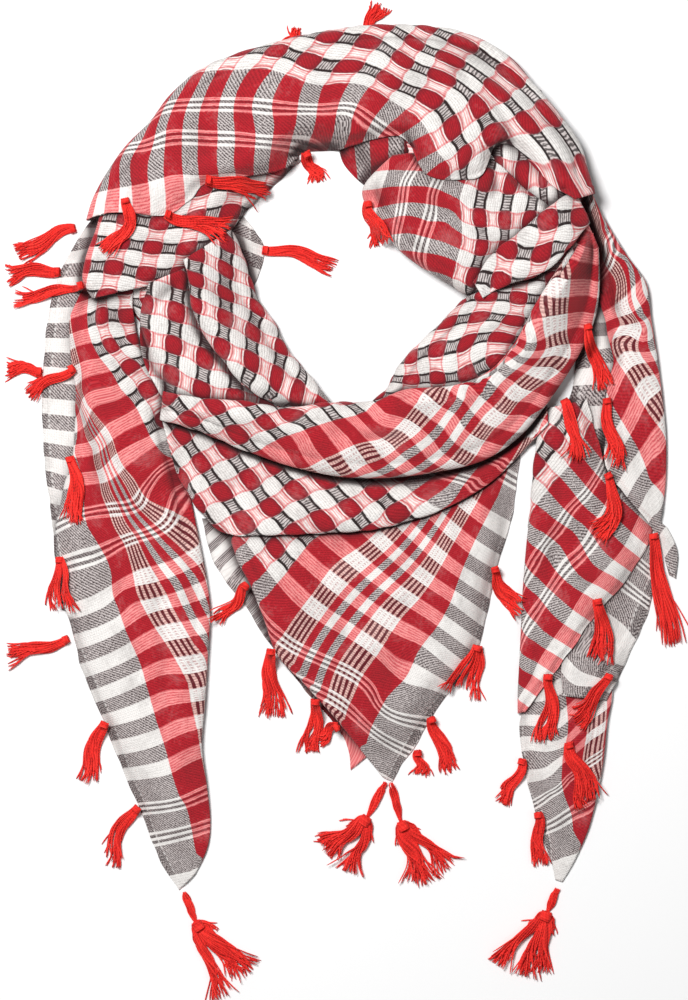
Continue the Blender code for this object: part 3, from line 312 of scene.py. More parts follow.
# Cloth coordinates: for each distance u from the selvedge, x, y and the distance v from the tasselled edge.
PINS = {
    "back_left_fold": {
        0: ((-170, -60, 210), (-175, -18, 252), (-179, 13, 280), (-181, 47, 316), (-179, 84, 352),
            (-177, 101, 370), (-170, 137, 406), (-162, 150, 421)), 9: ((-161, -60, 210), (-170, 10, 280)),
        12: ((-166, 101, 370),), 15: ((-164, 83, 352),), 16.8: ((-164, 45, 316), (-149, 154, 424)),
        18: ((-154, 138, 406),), 30: ((-136, 162, 442),), 39.6: ((-139, 168, 450),),
    },
    "hole_flap_left": {
        0: ((-52, 143, 280), (-53, 157, 298)), 9: ((-62, 135, 270),), 15: ((-65, 150, 282), (-65, 165, 300)),
    },
    "hole_flap_top": {
        384: ((34, 213, 15),), 393: ((25, 192, 27),), 420: ((-2, 213, 15), (1, 193, 27)),
    },
    "right_edge_strip": {
        3: ((139, 63, 140), (148, 84, 158), (148, 102, 176)), 6: ((148, 36, 122), (152, 120, 194)),
        9: ((154, 18, 104),), 15: ((154, 60, 138), (158, 87, 158), (157, 102, 176)),
    },
    "left_tail": {
        0: ((-103, -226, 11), (-113, -207, 30), (-118, -194, 43), (-122, -182, 56), (-129, -168, 73),
            (-133, -157, 86), (-139, -140, 104), (-152, -110, 140), (-166, -77, 176), (-170, -54, 198)),
        36: ((-98, -178, 56), (-103, -163, 73), (-112, -132, 104), (-122, -97, 140), (-135, -64, 176),
            (-139, -43, 198), (-148, -24, 216), (-153, -16, 221), (-155, -7, 230)), 38.4: ((-89, -201, 30),),
        39.6: ((-92, -180, 52), (-160, 30, 272)), 46.8: ((-92, -166, 64), (-97, -145, 86), (-102, -127, 104),
            (-107, -109, 122), (-113, -92, 140), (-122, -76, 158), (-131, -58, 176), (-158, 47, 290),
            (-160, 56, 298)), 48: ((-82, -210, 21),), 54: ((-155, 38, 280),), 57.6: ((-92, -109, 122),),
        64.2: ((-109, -70, 158), (-116, -55, 176), (-124, -34, 197), (-128, -23, 210), (-133, -16, 219),
            (-137, -5, 229), (-142, 5, 241), (-144, 14, 254), (-147, 23, 262), (-148, 32, 272)),
        80.1: ((-92, -67, 158), (-100, -50, 176)), 92.1: ((-84, -64, 158),), 108: ((-106, -14, 210),
            (-122, -1, 229), (-128, 10, 241), (-136, 22, 254), (-139, 30, 262), (-142, 38, 272),
            (-148, 47, 280), (-155, 57, 290), (-158, 64, 298)), 115.8: ((-131, 19, 249),),
        117.6: ((-120, 5, 229),), 123: ((-98, 5, 210),), 126: ((-126, 38, 262), (-136, 53, 280),
            (-146, 70, 298), (-155, 88, 316), (-159, 105, 334)), 126.6: ((-118, 20, 241),),
        129: ((-112, 16, 229),), 142: ((-115, 43, 262), (-124, 61, 280), (-134, 74, 298), (-145, 89, 316),
            (-151, 107, 334), (-150, 124, 352)), 152.2: ((-118, 66, 280), (-128, 80, 298), (-139, 92, 316),
            (-145, 111, 334)), 162.4: ((-133, 94, 316), (-138, 110, 334)), 172.6: ((-130, 109, 334),),
    },
    "left_shoulder": {
        142: ((-150, 124, 355),), 152.2: ((-137, 138, 370),), 172.6: ((-118, 134, 370), (-114, 150, 388),
            (-110, 164, 406)), 193: ((-98, 135, 370), (-94, 149, 388)), 213.4: ((-74, 152, 388),
            (-68, 172, 406)), 240: ((-37, 189, 432),),
    },
    "neck_pleat_right": {
        182.8: ((113, 176, 131), (124, 180, 149)), 193: ((98, 197, 113), (106, 193, 122), (119, 198, 140),
            (128, 190, 158)), 203.2: ((107, 206, 122),), 213.4: ((98, 218, 113),),
    },
    "inner_wrap_right": {
        152.2: ((58, 140, 64), (69, 135, 77), (77, 132, 86)), 153.6: ((43, 143, 52),), 162.4: ((58, 149, 64),
            (86, 142, 95)), 172.6: ((40, 164, 43), (82, 149, 86)), 180: ((50, 167, 52),),
        182.8: ((63, 169, 64), (74, 160, 77), (89, 158, 95)), 187.2: ((52, 175, 52),), 190.8: ((17, 177, 6),),
        193: ((60, 177, 64), (73, 167, 77), (80, 167, 86), (95, 165, 104)), 201.6: ((36, 189, 33),),
        203.2: ((89, 177, 95), (104, 176, 113)), 204: ((56, 190, 52),), 207: ((28, 195, 15),),
    },
    "front_middle": {
        193: ((-103, 75, 104), (-85, 65, 122), (-65, 61, 140)), 213.4: ((-116, 96, 90), (-83, 84, 122)),
        233.8: ((-100, 112, 104),),
    },
    "neck_roll_left": {
        213.4: ((-72, 90, 122), (-55, 83, 140), (-40, 73, 158), (-32, 65, 171)), 223.2: ((-26, 77, 174),),
        233.8: ((-88, 117, 104), (-55, 100, 140)), 246: ((-59, 113, 133), (-44, 103, 150)),
        264: ((-64, 126, 129),),
    },
    "neck_roll_right": {
        162.4: ((113, 119, 158),), 172.7: ((91, 82, 104), (92, 97, 122), (100, 106, 140), (103, 120, 158)),
        182.8: ((79, 88, 113), (94, 114, 149)), 193: ((73, 75, 104), (85, 121, 158)), 203.2: ((63, 80, 113),
            (68, 100, 131)), 213.4: ((55, 90, 122),), 223.7: ((47, 80, 113),), 233.8: ((37, 62, 86),
            (41, 71, 104), (40, 85, 122)),
    },
    "front_back_layer": {
        4.8: ((-58, -62, 244),), 9: ((-65, -48, 262),), 15: ((-75, -39, 280),), 18: ((-74, -30, 289),
            (-73, -20, 302)), 42: ((4, -150, 6),), 44.4: ((1, -141, 9),), 60: ((-26, -108, 60),),
    },
    "front_point": {
        0: ((32, -160, 21), (56, -123, 64), (67, -108, 86), (82, -80, 122), (89, -46, 158), (104, -4, 198)),
        36: ((13, -147, 21), (25, -119, 60), (37, -106, 75), (44, -91, 86), (56, -75, 109), (64, -60, 128),
            (73, -36, 158), (92, 2, 198)), 46.8: ((8, -130, 33), (13, -124, 43), (17, -116, 52),
            (23, -106, 64), (29, -99, 77)), 57.6: ((-1, -136, 21),), 64.2: ((2, -103, 52), (30, -64, 104)),
        108: ((-32, -87, 52),), 126: ((-38, -66, 64), (-23, -47, 86), (-13, -32, 104), (5, -21, 122)),
        152.2: ((-55, -43, 64), (-41, -29, 86)), 172.6: ((-67, -27, 64),),
    },
    "right_tail_end": {
        4.8: ((112, -175, 64),), 6: ((125, -207, 21),), 9: ((127, -216, 12), (113, -156, 86)),
        12: ((113, -145, 95),), 15: ((125, -185, 43),), 18: ((123, -176, 52),), 21: ((121, -169, 69),),
        24: ((133, -205, 21), (124, -162, 77)), 27: ((125, -153, 86),), 28.8: ((133, -190, 33),
            (127, -147, 95)), 30: ((130, -140, 104),), 39.6: ((143, -208, 12), (134, -178, 43)),
        40.8: ((140, -201, 21),), 43.2: ((134, -167, 52),), 56.4: ((149, -179, 33),),
        64.8: ((148, -156, 52),), 75: ((155, -150, 52),),
    },
    "right_tail_side": {
        0: ((155, -101, 84), (148, -111, 99), (140, -122, 114)), 2.4: ((166, -89, 78),), 3: ((179, -59, 52),),
        4.8: ((174, -67, 64),), 9: ((182, -36, 27),), 12: ((137, -115, 104),), 15: ((175, -42, 39),
            (145, -99, 86), (142, -107, 95)), 18: ((163, -61, 64),), 21.6: ((155, -71, 77),),
        24: ((149, -78, 86),), 25.2: ((162, -45, 52),), 30: ((136, -90, 86), (131, -97, 95),
            (128, -107, 104)),
    },
    "right_tail_panel": {
        142: ((109, -118, 6),), 152.2: ((107, -106, 21),), 162.4: ((117, -103, 6),), 172.7: ((113, -90, 21),),
        182.8: ((127, -88, 6),), 193: ((122, -74, 21), (111, -59, 43)), 203.2: ((138, -73, 6),),
        213.4: ((134, -56, 21), (120, -44, 43)), 223.7: ((149, -54, 6), (126, -31, 43), (114, -21, 64)),
        233.8: ((146, -44, 21), (134, -25, 43), (119, -13, 64)), 244: ((161, -41, 6), (140, -16, 43)),
        254.2: ((160, -28, 21), (142, -10, 43), (121, 15, 78)), 264.4: ((173, -26, 6), (150, -3, 43),
            (138, 10, 64)), 274.6: ((154, 5, 43), (143, 17, 64), (126, 37, 86)),
    },
    "right_side_fold": {
        0: ((160, 12, 122),), 6: ((173, -2, 104),), 27: ((178, 8, 104), (170, 28, 122)),
        45: ((154, 135, 210),), 46.8: ((190, 23, 104), (179, 42, 122), (167, 61, 140), (158, 81, 158),
            (157, 115, 191), (159, 129, 198)), 54: ((149, 165, 221),), 57: ((154, 154, 217),),
        57.6: ((145, 178, 229),), 64.2: ((187, 57, 122), (176, 77, 140), (166, 95, 158), (174, 103, 167),
            (173, 108, 176), (167, 114, 185)), 74.1: ((178, 98, 167), (158, 154, 210), (155, 161, 218)),
        80.1: ((181, 104, 167), (176, 110, 176), (167, 145, 200), (161, 149, 209)), 86.1: ((181, 115, 176),
            (176, 122, 185), (173, 138, 197)), 92.1: ((178, 130, 186),),
    },
    "front_swag": {
        108: ((113, 44, 254), (118, 53, 262)), 126: ((92, 23, 229), (99, 32, 241), (106, 42, 254)),
        127.2: ((86, 17, 219),), 129: ((79, 10, 210),), 142: ((64, 5, 198),), 152.2: ((31, -7, 176),
            (52, 7, 198), (62, 15, 210)), 162.4: ((34, 5, 185),), 172.6: ((-29, -18, 122), (-13, -12, 140),
            (4, -5, 158)), 193: ((-44, -5, 122), (-29, 6, 140)), 213.4: ((-89, -2, 86), (-56, 12, 122),
            (-43, 21, 140)), 233.8: ((-97, 13, 86), (-86, 22, 104), (-70, 31, 122)), 254.2: ((-97, 39, 104),),
    },
    "front_upper": {
        46.8: ((91, 38, 406), (100, 46, 416), (106, 55, 424), (139, 98, 478), (143, 136, 514),
            (143, 146, 524)), 54: ((130, 75, 456),), 64.2: ((71, 25, 388), (83, 40, 406), (90, 48, 416),
            (97, 55, 424), (103, 62, 434), (110, 69, 442), (124, 83, 460), (130, 89, 470), (127, 95, 478),
            (127, 105, 488), (127, 125, 506)), 74.1: ((52, 18, 370), (83, 53, 416), (91, 61, 424),
            (96, 68, 434), (103, 74, 442), (118, 91, 478), (116, 101, 488), (115, 113, 496)),
        80.1: ((47, 20, 370), (55, 26, 380), (67, 40, 398), (73, 49, 406), (79, 56, 416)),
        86.1: ((87, 74, 434), (106, 96, 488)), 92.1: ((25, 18, 352), (40, 28, 370), (55, 40, 388),
            (61, 49, 398), (67, 56, 406), (71, 64, 416)), 98.1: ((11, 18, 344), (20, 21, 352), (28, 26, 362),
            (35, 32, 370), (56, 50, 398), (62, 58, 406), (67, 65, 416)), 108: ((-11, 18, 326), (-2, 20, 334),
            (5, 25, 344), (14, 30, 352), (32, 37, 370), (43, 49, 388), (49, 56, 398), (57, 62, 406)),
        126: ((-29, 27, 316), (-22, 29, 326), (-13, 34, 334), (-4, 38, 344), (5, 40, 352), (19, 42, 370),
            (23, 48, 380), (32, 54, 388)), 142: ((-56, 32, 298), (-49, 36, 308), (-40, 40, 316),
            (-32, 43, 326), (-23, 46, 334)), 152.2: ((-64, 39, 298), (-46, 46, 316), (-34, 49, 334)),
        162.4: ((-71, 48, 298),), 172.7: ((-59, 58, 316),), 180: ((-97, 53, 280),),
    },
    "neck_fold_right": {
        172.7: ((95, 139, 113),), 182.8: ((104, 137, 113), (109, 155, 131)), 193: ((117, 146, 122),
            (120, 155, 131)), 203.2: ((126, 151, 122), (130, 157, 131), (130, 167, 140), (131, 176, 149)),
    },
    "top_band": {
        368.8: ((-142, 189, 16),), 379: ((-136, 176, 5),), 389.2: ((-129, 202, 24), (-121, 217, 41)),
        399.4: ((-118, 177, 5),), 409.6: ((-107, 222, 40), (-98, 245, 63)), 419.8: ((-98, 187, 6),),
        424.2: ((-92, 234, 52),), 430: ((-89, 198, 18), (-89, 215, 33)), 450: ((-67, 194, 12),),
        450.4: ((-68, 198, 18), (-67, 214, 33), (-61, 252, 69)), 462: ((-44, 256, 73),),
        468: ((-50, 233, 52),), 470.8: ((-44, 222, 43), (-38, 252, 71)), 481: ((-16, 263, 90),),
        490.8: ((-26, 210, 32), (-14, 249, 77)), 491.2: ((-20, 222, 42),), 501.4: ((7, 258, 88),),
        505.8: ((22, 270, 104),), 510: ((1, 221, 48),), 511.6: ((1, 222, 44), (8, 240, 63)),
        521.8: ((29, 247, 86), (46, 273, 127)), 537: ((58, 264, 122),), 539.9: ((37, 224, 66), (51, 238, 86)),
        550: ((67, 237, 95),), 555: ((36, 210, 52),), 558: ((94, 252, 135),), 560.2: ((47, 210, 66),
            (64, 220, 86)), 570.4: ((52, 200, 66), (61, 205, 77), (75, 216, 95), (94, 229, 113)),
        580.6: ((58, 196, 66), (72, 205, 86), (88, 218, 104)), 582: ((121, 228, 138),),
        590.9: ((76, 194, 95),), 600: ((107, 192, 99), (130, 186, 120)),
    },
}
# Creases: points along each, then its half width and its height, mm (below zero for a trough).
CREASES = [
    ([(-125, 111), (-122, 93), (-116, 78), (-108, 69), (-109, 48), (-104, 30), (-100, 12), (-97, -4), (-93,
      -18)], 4, -7),
    ([(-92, 120), (-86, 100), (-59, 69), (-46, 60), (-26, 53), (4, 45)], 4, -5),
    ([(-107, 49), (-86, 44), (-55, 29), (-32, 21), (-4, 14), (23, 13), (41, 14), (82, 23), (104, 37), (118,
      54)], 3.5, -4),
    ([(-73, -19), (-4, -18), (23, -15), (50, -8), (71, 1), (90, 14), (107, 34)], 3, -2),
    ([(79, 126), (94, 128), (106, 130), (121, 138)], 4, -5),
    ([(148, 162), (154, 144), (161, 120), (166, 102)], 4, -6),
    ([(-137, 120), (-116, 117), (-92, 136)], 3.5, -3),
    ([(8, 43), (14, 38), (26, 38), (37, 40)], 2.5, -2),
    ([(-160, 64), (-157, 50), (-151, 32), (-146, 14), (-142, -4)], 5, -4),
    ([(36, 229), (38, 216), (44, 204), (55, 198)], 3.5, -4),
    ([(82, 210), (89, 199), (89, 186), (86, 177)], 4, -5),
    ([(52, 279), (67, 255), (88, 237), (100, 210), (106, 186)], 4, -3),
    ([(-67, -18), (-59, -36), (-49, -60)], 4, -2.5),
    ([(-26, -36), (-8, -66), (5, -96)], 6, -1.5),
    ([(-116, -36), (-110, -84), (-107, -132)], 5, -1.5),
    ([(130, 30), (125, -12), (121, -60)], 5, -2),
]


# ---------------------------------------------------------------- shader arithmetic


def feed(socket, value):
    """Links a number or another socket to a socket, or sets a plain value on it."""
    if isinstance(value, Number):
        value = value.socket
    if isinstance(value, bpy.types.NodeSocket):
        socket.id_data.links.new(value, socket)
    else:
        socket.default_value = (*value, 1) if socket.type == "RGBA" else value


def add_node(tree, kind, inputs):
    """A new node with its inputs, by name or number, fed."""
    node = tree.nodes.new("ShaderNode" + kind)
    for key, value in inputs.items():
        feed(node.inputs[key], value)
    return node


class Number:
    """A value in a node tree, written with ordinary arithmetic."""

    def __init__(self, socket):
        self.tree, self.socket = socket.id_data, socket

    def apply(self, operation, *others, clamp=False):
        node = add_node(self.tree, "Math", dict(enumerate((self, *others))))
        node.operation = operation
        node.use_clamp = clamp
        return Number(node.outputs[0])

    __add__ = partialmethod(apply, "ADD")
    __sub__ = partialmethod(apply, "SUBTRACT")
    __mul__ = partialmethod(apply, "MULTIPLY")
    __truediv__ = partialmethod(apply, "DIVIDE")
    __mod__ = partialmethod(apply, "FLOORED_MODULO")
    __pow__ = partialmethod(apply, "POWER")
    __neg__ = partialmethod(apply, "MULTIPLY", -1.0)
    absolute = partialmethod(apply, "ABSOLUTE")
    cosine = partialmethod(apply, "COSINE")
    maximum = partialmethod(apply, "MAXIMUM")

    def wave(self, period):
        """A sine from -1 to 1."""
        return (self * (2 * math.pi / period)).apply("SINE")

    def ribs(self, period):
        """A sine from 0 to 1."""
        return self.wave(period) * 0.5 + 0.5

    def above(self, edge, soft):
        """0 below edge and 1 above it, over a short soft step."""
        return ((self - edge) / (2 * soft)).apply("ADD", 0.5, clamp=True)

    def below(self, edge, soft):
        """1 below edge and 0 above it."""
        return self.above(edge, -soft)


def mix(factor, first, second):
    """Colour first where factor is 0 or less and second where it is 1 or more."""
    node = factor.tree.nodes.new("ShaderNodeMix")
    node.data_type = "RGBA"
    for index, value in ((0, factor), (6, first), (7, second)):
        feed(node.inputs[index], value)
    return node.outputs[2]


def noise(vector, scale, detail=2.0, stretch=None):
    """Noise from 0 to 1; stretch scales its two directions apart."""
    tree = vector.id_data
    if stretch:
        vector = add_node(tree, "Mapping", {"Vector": vector, "Scale": (*stretch, 1)}).outputs[0]
    node = add_node(tree, "TexNoise", {"Vector": vector, "Scale": scale, "Detail": detail})
    return Number(node.outputs["Fac"])


def begin_material(name, layer):
    """A new material and the place in a layer of coordinates, as a vector and as two numbers."""
    made = bpy.data.materials.new(name)
    made.use_nodes = True
    uv = made.node_tree.nodes.new("ShaderNodeUVMap")
    uv.uv_map = layer
    place = uv.outputs["UV"]
    split = add_node(made.node_tree, "SeparateXYZ", {0: place})
    return made, place, Number(split.outputs[0]), Number(split.outputs[1])


def finish_material(made, colour, height, bump, looks):
    """Feeds the shader; bump holds the relief's depth in metres and its strength."""
    tree = made.node_tree
    relief = add_node(tree, "Bump", {"Distance": bump[0], "Strength": bump[1], "Height": height})
    for name, value in {"Base Color": colour, "Normal": relief.outputs[0], **looks}.items():
        feed(tree.nodes["Principled BSDF"].inputs[name], value)
    return made


def bands_of(position, bands, start):
    """Two masks: 1 on coloured stripes, and 1 all over the bands of thin lines."""
    coloured = ruled = position * 0.0
    for width, colour, lines in bands:
        if colour == COLOURED:
            inside = position.above(start, STRIPE_SOFT) * position.below(start + width, STRIPE_SOFT)
            if lines:
                ruled = ruled.maximum(inside)
                inside = inside * (position - start).wave(width / (lines - 0.5)).below(0.0, 0.35)
            coloured = coloured.maximum(inside)
        start += width
    return coloured, ruled


def in_period(distance, start, white, period):
    """Place in a period of the basket weave, -1 to 1 with 0 in the middle of the coloured stripe."""
    return ((distance - start - (white + period) / 2) / period + 0.5) % 1 * 2 - 1


def cloth_material():
    made, place, u, v = begin_material("check_cotton", "cloth")
    cloudy = noise(place, 0.05)
    uneven = noise(place, 0.45) - 0.5
    grain = noise(place, 1.25, 1)
    rough = grain - 0.5
    weft_slubs = noise(place, 1.0, 1, (0.22, 1.3)) - 0.5
    warp_slubs = noise(place, 1.0, 1, (1.3, 0.22)) - 0.5
    u = u.absolute() + uneven * 0.7
    v = v.absolute() + uneven * 0.7

    # Where the warp is red and where the weft is black.
    warp_border, lined = bands_of(u, WARP_BORDER, 0.0)
    weft_border, ruled = bands_of(v, WEFT_BORDER, 0.0)
    weft_second, ruled_second = bands_of(v, WEFT_SECOND, SECOND_START)
    ruled = ruled.maximum(ruled_second)
    inner_u = u.above(WARP_START, STRIPE_SOFT)
    inner_v = v.above(WEFT_START, STRIPE_SOFT) * v.below(SECOND_START, STRIPE_SOFT)
    inner_v = inner_v + v.above(SECOND_END, STRIPE_SOFT)
    basket = inner_u * inner_v
    a = in_period(u, WARP_START, WARP_WHITE, WARP_PERIOD)
    b = (in_period(v, WEFT_START, WEFT_WHITE, WEFT_PERIOD) * v.below(SECOND_START, 0.01)
         + in_period(v, SECOND_END, WEFT_WHITE, WEFT_PERIOD) * v.above(SECOND_START, 0.01))
    swell_u, swell_v = ((other * math.pi).cosine() * SWELL * basket for other in (b, a))
    edge_u = a.absolute() - swell_u - (1 - WARP_WHITE / WARP_PERIOD)
    edge_v = b.absolute() - swell_v - (1 - WEFT_WHITE / WEFT_PERIOD)
    red = warp_border.maximum(inner_u * edge_u.below(0.0, 0.02))
    black = weft_border.maximum(weft_second).maximum(inner_v * edge_v.below(0.0, 0.02))

    # Threads: fine ribs along each way of the cloth and a diagonal twill, all a little uneven.
    twill = (u + v * TWILL_SLOPE + rough * 1.7).ribs(TWILL)
    weft_ribs = (v + weft_slubs * 1.5).ribs(WEFT_RIB)
    warp_ribs = (u + warp_slubs * 1.5).ribs(WARP_RIB)
    speckle = (twill - 0.5) * 0.95 + rough * 2.2 + uneven * 0.8 + 0.54
    beads = (weft_ribs - 0.5) * 0.8 + rough * 1.2 + 0.3
    hatch = (weft_ribs - 0.5) * 1.1 + rough * 1.5 + 0.36
    white = mix((warp_ribs * 0.5 + grain * 0.7 - 0.25) * 0.5, WHITE, THREAD_GRAY)
    pink = mix(lined, mix(hatch, PALE_PINK, PINK), mix(beads, WHITE, DOTTED_PINK))
    gray = mix(lined, mix(speckle, PALE_GRAY, DARK_GRAY), mix(beads, PALE_LINE, BEAD))
    gray = mix(ruled * 0.45, gray, DARK_GRAY)
    dark_red = mix((twill - 0.5) * 0.8 + rough * 1.6 + 0.5, RED, SHADE_RED)
    dark_red = mix(lined.maximum(ruled * 0.4), dark_red, mix(grain, MAROON, DARK_MAROON))

    # Basket weave: long floats that bulge, with outlined waists between them.
    white = mix(weft_ribs.above(0.72, 0.2) * grain * basket * 1.1, white, THREAD_GRAY)
    waist_gray = mix(warp_ribs.above(0.5, 0.3) * 0.85, PALE_GRAY, INK)
    waist_gray = mix((edge_v + 0.085).absolute().below(0.1, 0.03), waist_gray, INK)
    gray = mix(basket, gray, waist_gray)
    waist_pink = mix(weft_ribs * 0.8, WHITE, PALE_PINK)
    waist_pink = mix((edge_v - 0.15).absolute().below(0.05, 0.04) * 0.85, waist_pink, RED)
    waist_pink = mix(edge_u.above(-0.12, 0.04) * 0.6, waist_pink, PINK)
    pink = mix(basket, pink, waist_pink)
    roundness = (a / DOT_SIZE[0]).absolute() ** DOT_POWER + (b / DOT_SIZE[1]).absolute() ** DOT_POWER
    dark_red = mix(basket * (twill.above(0.55, 0.3) * 0.5 + 0.25), dark_red, SHADE_RED)
    # The dots darken to maroon towards their rims: partly the dark weft showing at their ends, partly painted
    # shade where the float rounds down.
    dark_red = mix(basket * roundness.above(0.5, 0.35) * 0.9, dark_red, MAROON)
    dark_red = mix(basket * roundness.above(1.0, 0.12), dark_red, waist_pink)
    woven = mix(black, mix(red, white, pink), mix(red, gray, dark_red))

    # A stitched selvedge, where dark weft curls round the edge.
    curl = u.below(SELVEDGE, 0.7) * black * (weft_ribs * 0.4 + 0.12)
    stitch = (u - SELVEDGE).absolute().below(0.7, 0.2) * v.wave(STITCH).above(-0.2, 0.3) * 0.5
    woven = mix(stitch, mix(curl, woven, INK), WHITE)

    # Uneven dye and thread, and painted shade in the hollows: points that lie below the cloth round them are
    # darkened.
    tone = (cloudy - 0.53) * 0.9 + uneven * 0.4
    woven = mix(tone * 0.35, mix(-tone, woven, DYE_DARK), DYE_PALE)
    painted_hollow_shade = made.node_tree.nodes.new("ShaderNodeAttribute")
    painted_hollow_shade.attribute_name = "painted_hollow_shade"
    woven = mix(Number(painted_hollow_shade.outputs["Fac"]) * PAINTED_SHADE_STRENGTH, woven, PAINTED_SHADE_COLOUR)
    height = twill * 0.35 + grain * 0.6 + weft_ribs * 0.4 + warp_ribs * 0.2
    return finish_material(made, woven, height, (0.0004, 0.6), {
        "Roughness": 0.9, "Specular IOR Level": 0.2, "Sheen Weight": 0.12, "Sheen Roughness": 0.5,
    })


def yarn_material():
    made, place, along, around = begin_material("tassel_yarn", "yarn")
    ply = (along + around * 0.6).ribs(1.9)
    fuzz = noise(place, 0.8, 3)
    strand = noise(place, 0.03, 1)
    shade = (-ply + 1.0) * 0.2 + (fuzz - 0.5) * 0.8 + (-strand + 0.53) * 3.0
    colour = mix((strand - 0.5) * 1.6, mix(shade, TASSEL_RED, TASSEL_SHADE), TASSEL_LIGHT)
    return finish_material(made, colour, ply + fuzz * 0.6, (0.0003, 0.5), {
        "Roughness": 0.7, "Specular IOR Level": 0.15, "Sheen Weight": 0.04,
    })


# ---------------------------------------------------------------- height map


def spline(rows, count=None):
    """Rows spaced evenly along a smooth curve through the given rows."""
    rows = np.array(rows, float)
    fine = []
    for index in range(len(rows) - 1):
        before, start = rows[max(index - 1, 0)], rows[index]
        end, after = rows[index + 1], rows[min(index + 2, len(rows) - 1)]
        for t in np.linspace(0, 1, 8, endpoint=False):
            fine.append(
                0.5 * (2 * start + (end - before) * t + (2 * before - 5 * start + 4 * end - after) * t**2
                       + (3 * start - before - 3 * end + after) * t**3)
            )
    fine = np.array(fine + [rows[-1]])
    middle = (fine[:, 0:2] + fine[:, 2:4]) / 2 if rows.shape[1] >= 4 else fine[:, :2]
    along = np.r_[0, np.cumsum(np.linalg.norm(np.diff(middle, axis=0), axis=1))]
    wanted = np.linspace(0, along[-1], count or max(3, round(along[-1] / STEP) + 1))
    return np.stack([np.interp(wanted, along, fine[:, column]) for column in range(fine.shape[1])], axis=1)


def unit(vectors):
    """The vectors' directions, each of length 1."""
    return vectors / np.maximum(np.linalg.norm(vectors, axis=-1, keepdims=True), 1e-9)


class Ground:
    """How high the pieces laid so far reach, in millimetres on a square grid."""

    CORNER = np.array([-225.0, -325.0])
    SIZE = (450, 650)

    def __init__(self):
        self.height = np.zeros(self.SIZE)
        self.dent = fold_height(*self.middles(*np.indices(self.SIZE)), CREASES)

    @classmethod
    def middles(cls, i, j):
        """x and y of the middles of cells."""
        return cls.CORNER[0] + (i + 0.5) * CELL, cls.CORNER[1] + (j + 0.5) * CELL

    @staticmethod
    def spread(grid, cells):
        """Each cell takes the highest value within this many cells."""
        result = grid.copy()
        for axis in (0, 1):
            source = result.copy()
            for shift in range(-cells, cells + 1):
                result = np.maximum(result, np.roll(source, shift, axis))
        return result

    @staticmethod
    def soften(grid, cells):
        """Each cell takes the mean of the square of cells round it."""
        for axis in (0, 1):
            grid = sum(np.roll(grid, shift, axis) for shift in range(-cells, cells + 1)) / (2 * cells + 1)
        return grid

    @classmethod
    def at(cls, grid, x, y):
        """Bilinear reading of a grid."""
        column = (np.asarray(x) - cls.CORNER[0]) / CELL - 0.5
        row = (np.asarray(y) - cls.CORNER[1]) / CELL - 0.5
        i, j = np.floor(column).astype(int), np.floor(row).astype(int)
        a, b = column - i, row - j
        return ((1 - a) * (1 - b) * grid[i, j] + a * (1 - b) * grid[i + 1, j]
                + (1 - a) * b * grid[i, j + 1] + a * b * grid[i + 1, j + 1])

    def lay(self, points):
        """Raises the cells that hold points to their height."""
        cells = np.floor((points[..., :2] - self.CORNER) / CELL).astype(int)
        cells = np.clip(cells, 0, np.array(self.SIZE) - 1)
        np.maximum.at(self.height, (cells[..., 0], cells[..., 1]), points[..., 2])

    def lay_grid(self, points):
        """Adds a grid of points and the middles between them."""
        self.lay(points)
        self.lay((points[1:] + points[:-1]) / 2)
        self.lay((points[:, 1:] + points[:, :-1]) / 2)
        self.lay((points[1:, 1:] + points[:-1, :-1]) / 2)


def node_top(name):
    """Height map of a CAD node's upper side."""
    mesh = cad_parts[name].data
    mesh.calc_loop_triangles()
    points = np.array([vertex.co for vertex in mesh.vertices]) / MM + ORIGIN
    height = np.full(Ground.SIZE, -1.0)
    for triangle in mesh.loop_triangles:
        corners = points[list(triangle.vertices)]
        low = np.floor((corners[:, :2].min(axis=0) - Ground.CORNER) / CELL).astype(int)
        high = np.ceil((corners[:, :2].max(axis=0) - Ground.CORNER) / CELL).astype(int)
        i, j = np.meshgrid(np.arange(low[0], high[0] + 1), np.arange(low[1], high[1] + 1), indexing="ij")
        i, j = i.ravel(), j.ravel()
        x, y = Ground.middles(i, j)
        (ax, ay), (bx, by), (cx, cy) = corners[:, :2]
        area = (bx - ax) * (cy - ay) - (cx - ax) * (by - ay)
        if abs(area) < 1e-6:
            continue
        second = ((x - ax) * (cy - ay) - (cx - ax) * (y - ay)) / area
        third = ((bx - ax) * (y - ay) - (x - ax) * (by - ay)) / area
        weights = np.stack([1 - second - third, second, third], axis=1)
        inside = (weights > -0.02).all(axis=1)
        np.maximum.at(height, (i[inside], j[inside]), weights[inside] @ corners[:, 2])
    return height


def run_on(height, cells):
    """Fills the cells round a height map from their neighbours, then smooths it."""
    known = height >= 0
    height = np.where(known, height, 0.0)
    for _ in range(cells):
        total, count = np.zeros_like(height), np.zeros_like(height)
        for axis in (0, 1):
            for shift in (1, -1):
                total += np.roll(height * known, shift, axis)
                count += np.roll(known, shift, axis)
        fresh = ~known & (count > 0)
        height[fresh] = total[fresh] / count[fresh]
        known = known | fresh
    for _ in range(2):
        weight = Ground.soften(known.astype(float), 3)
        height = Ground.soften(height * known, 3) / np.maximum(weight, 1e-6)
    return height


# ---------------------------------------------------------------- cloth


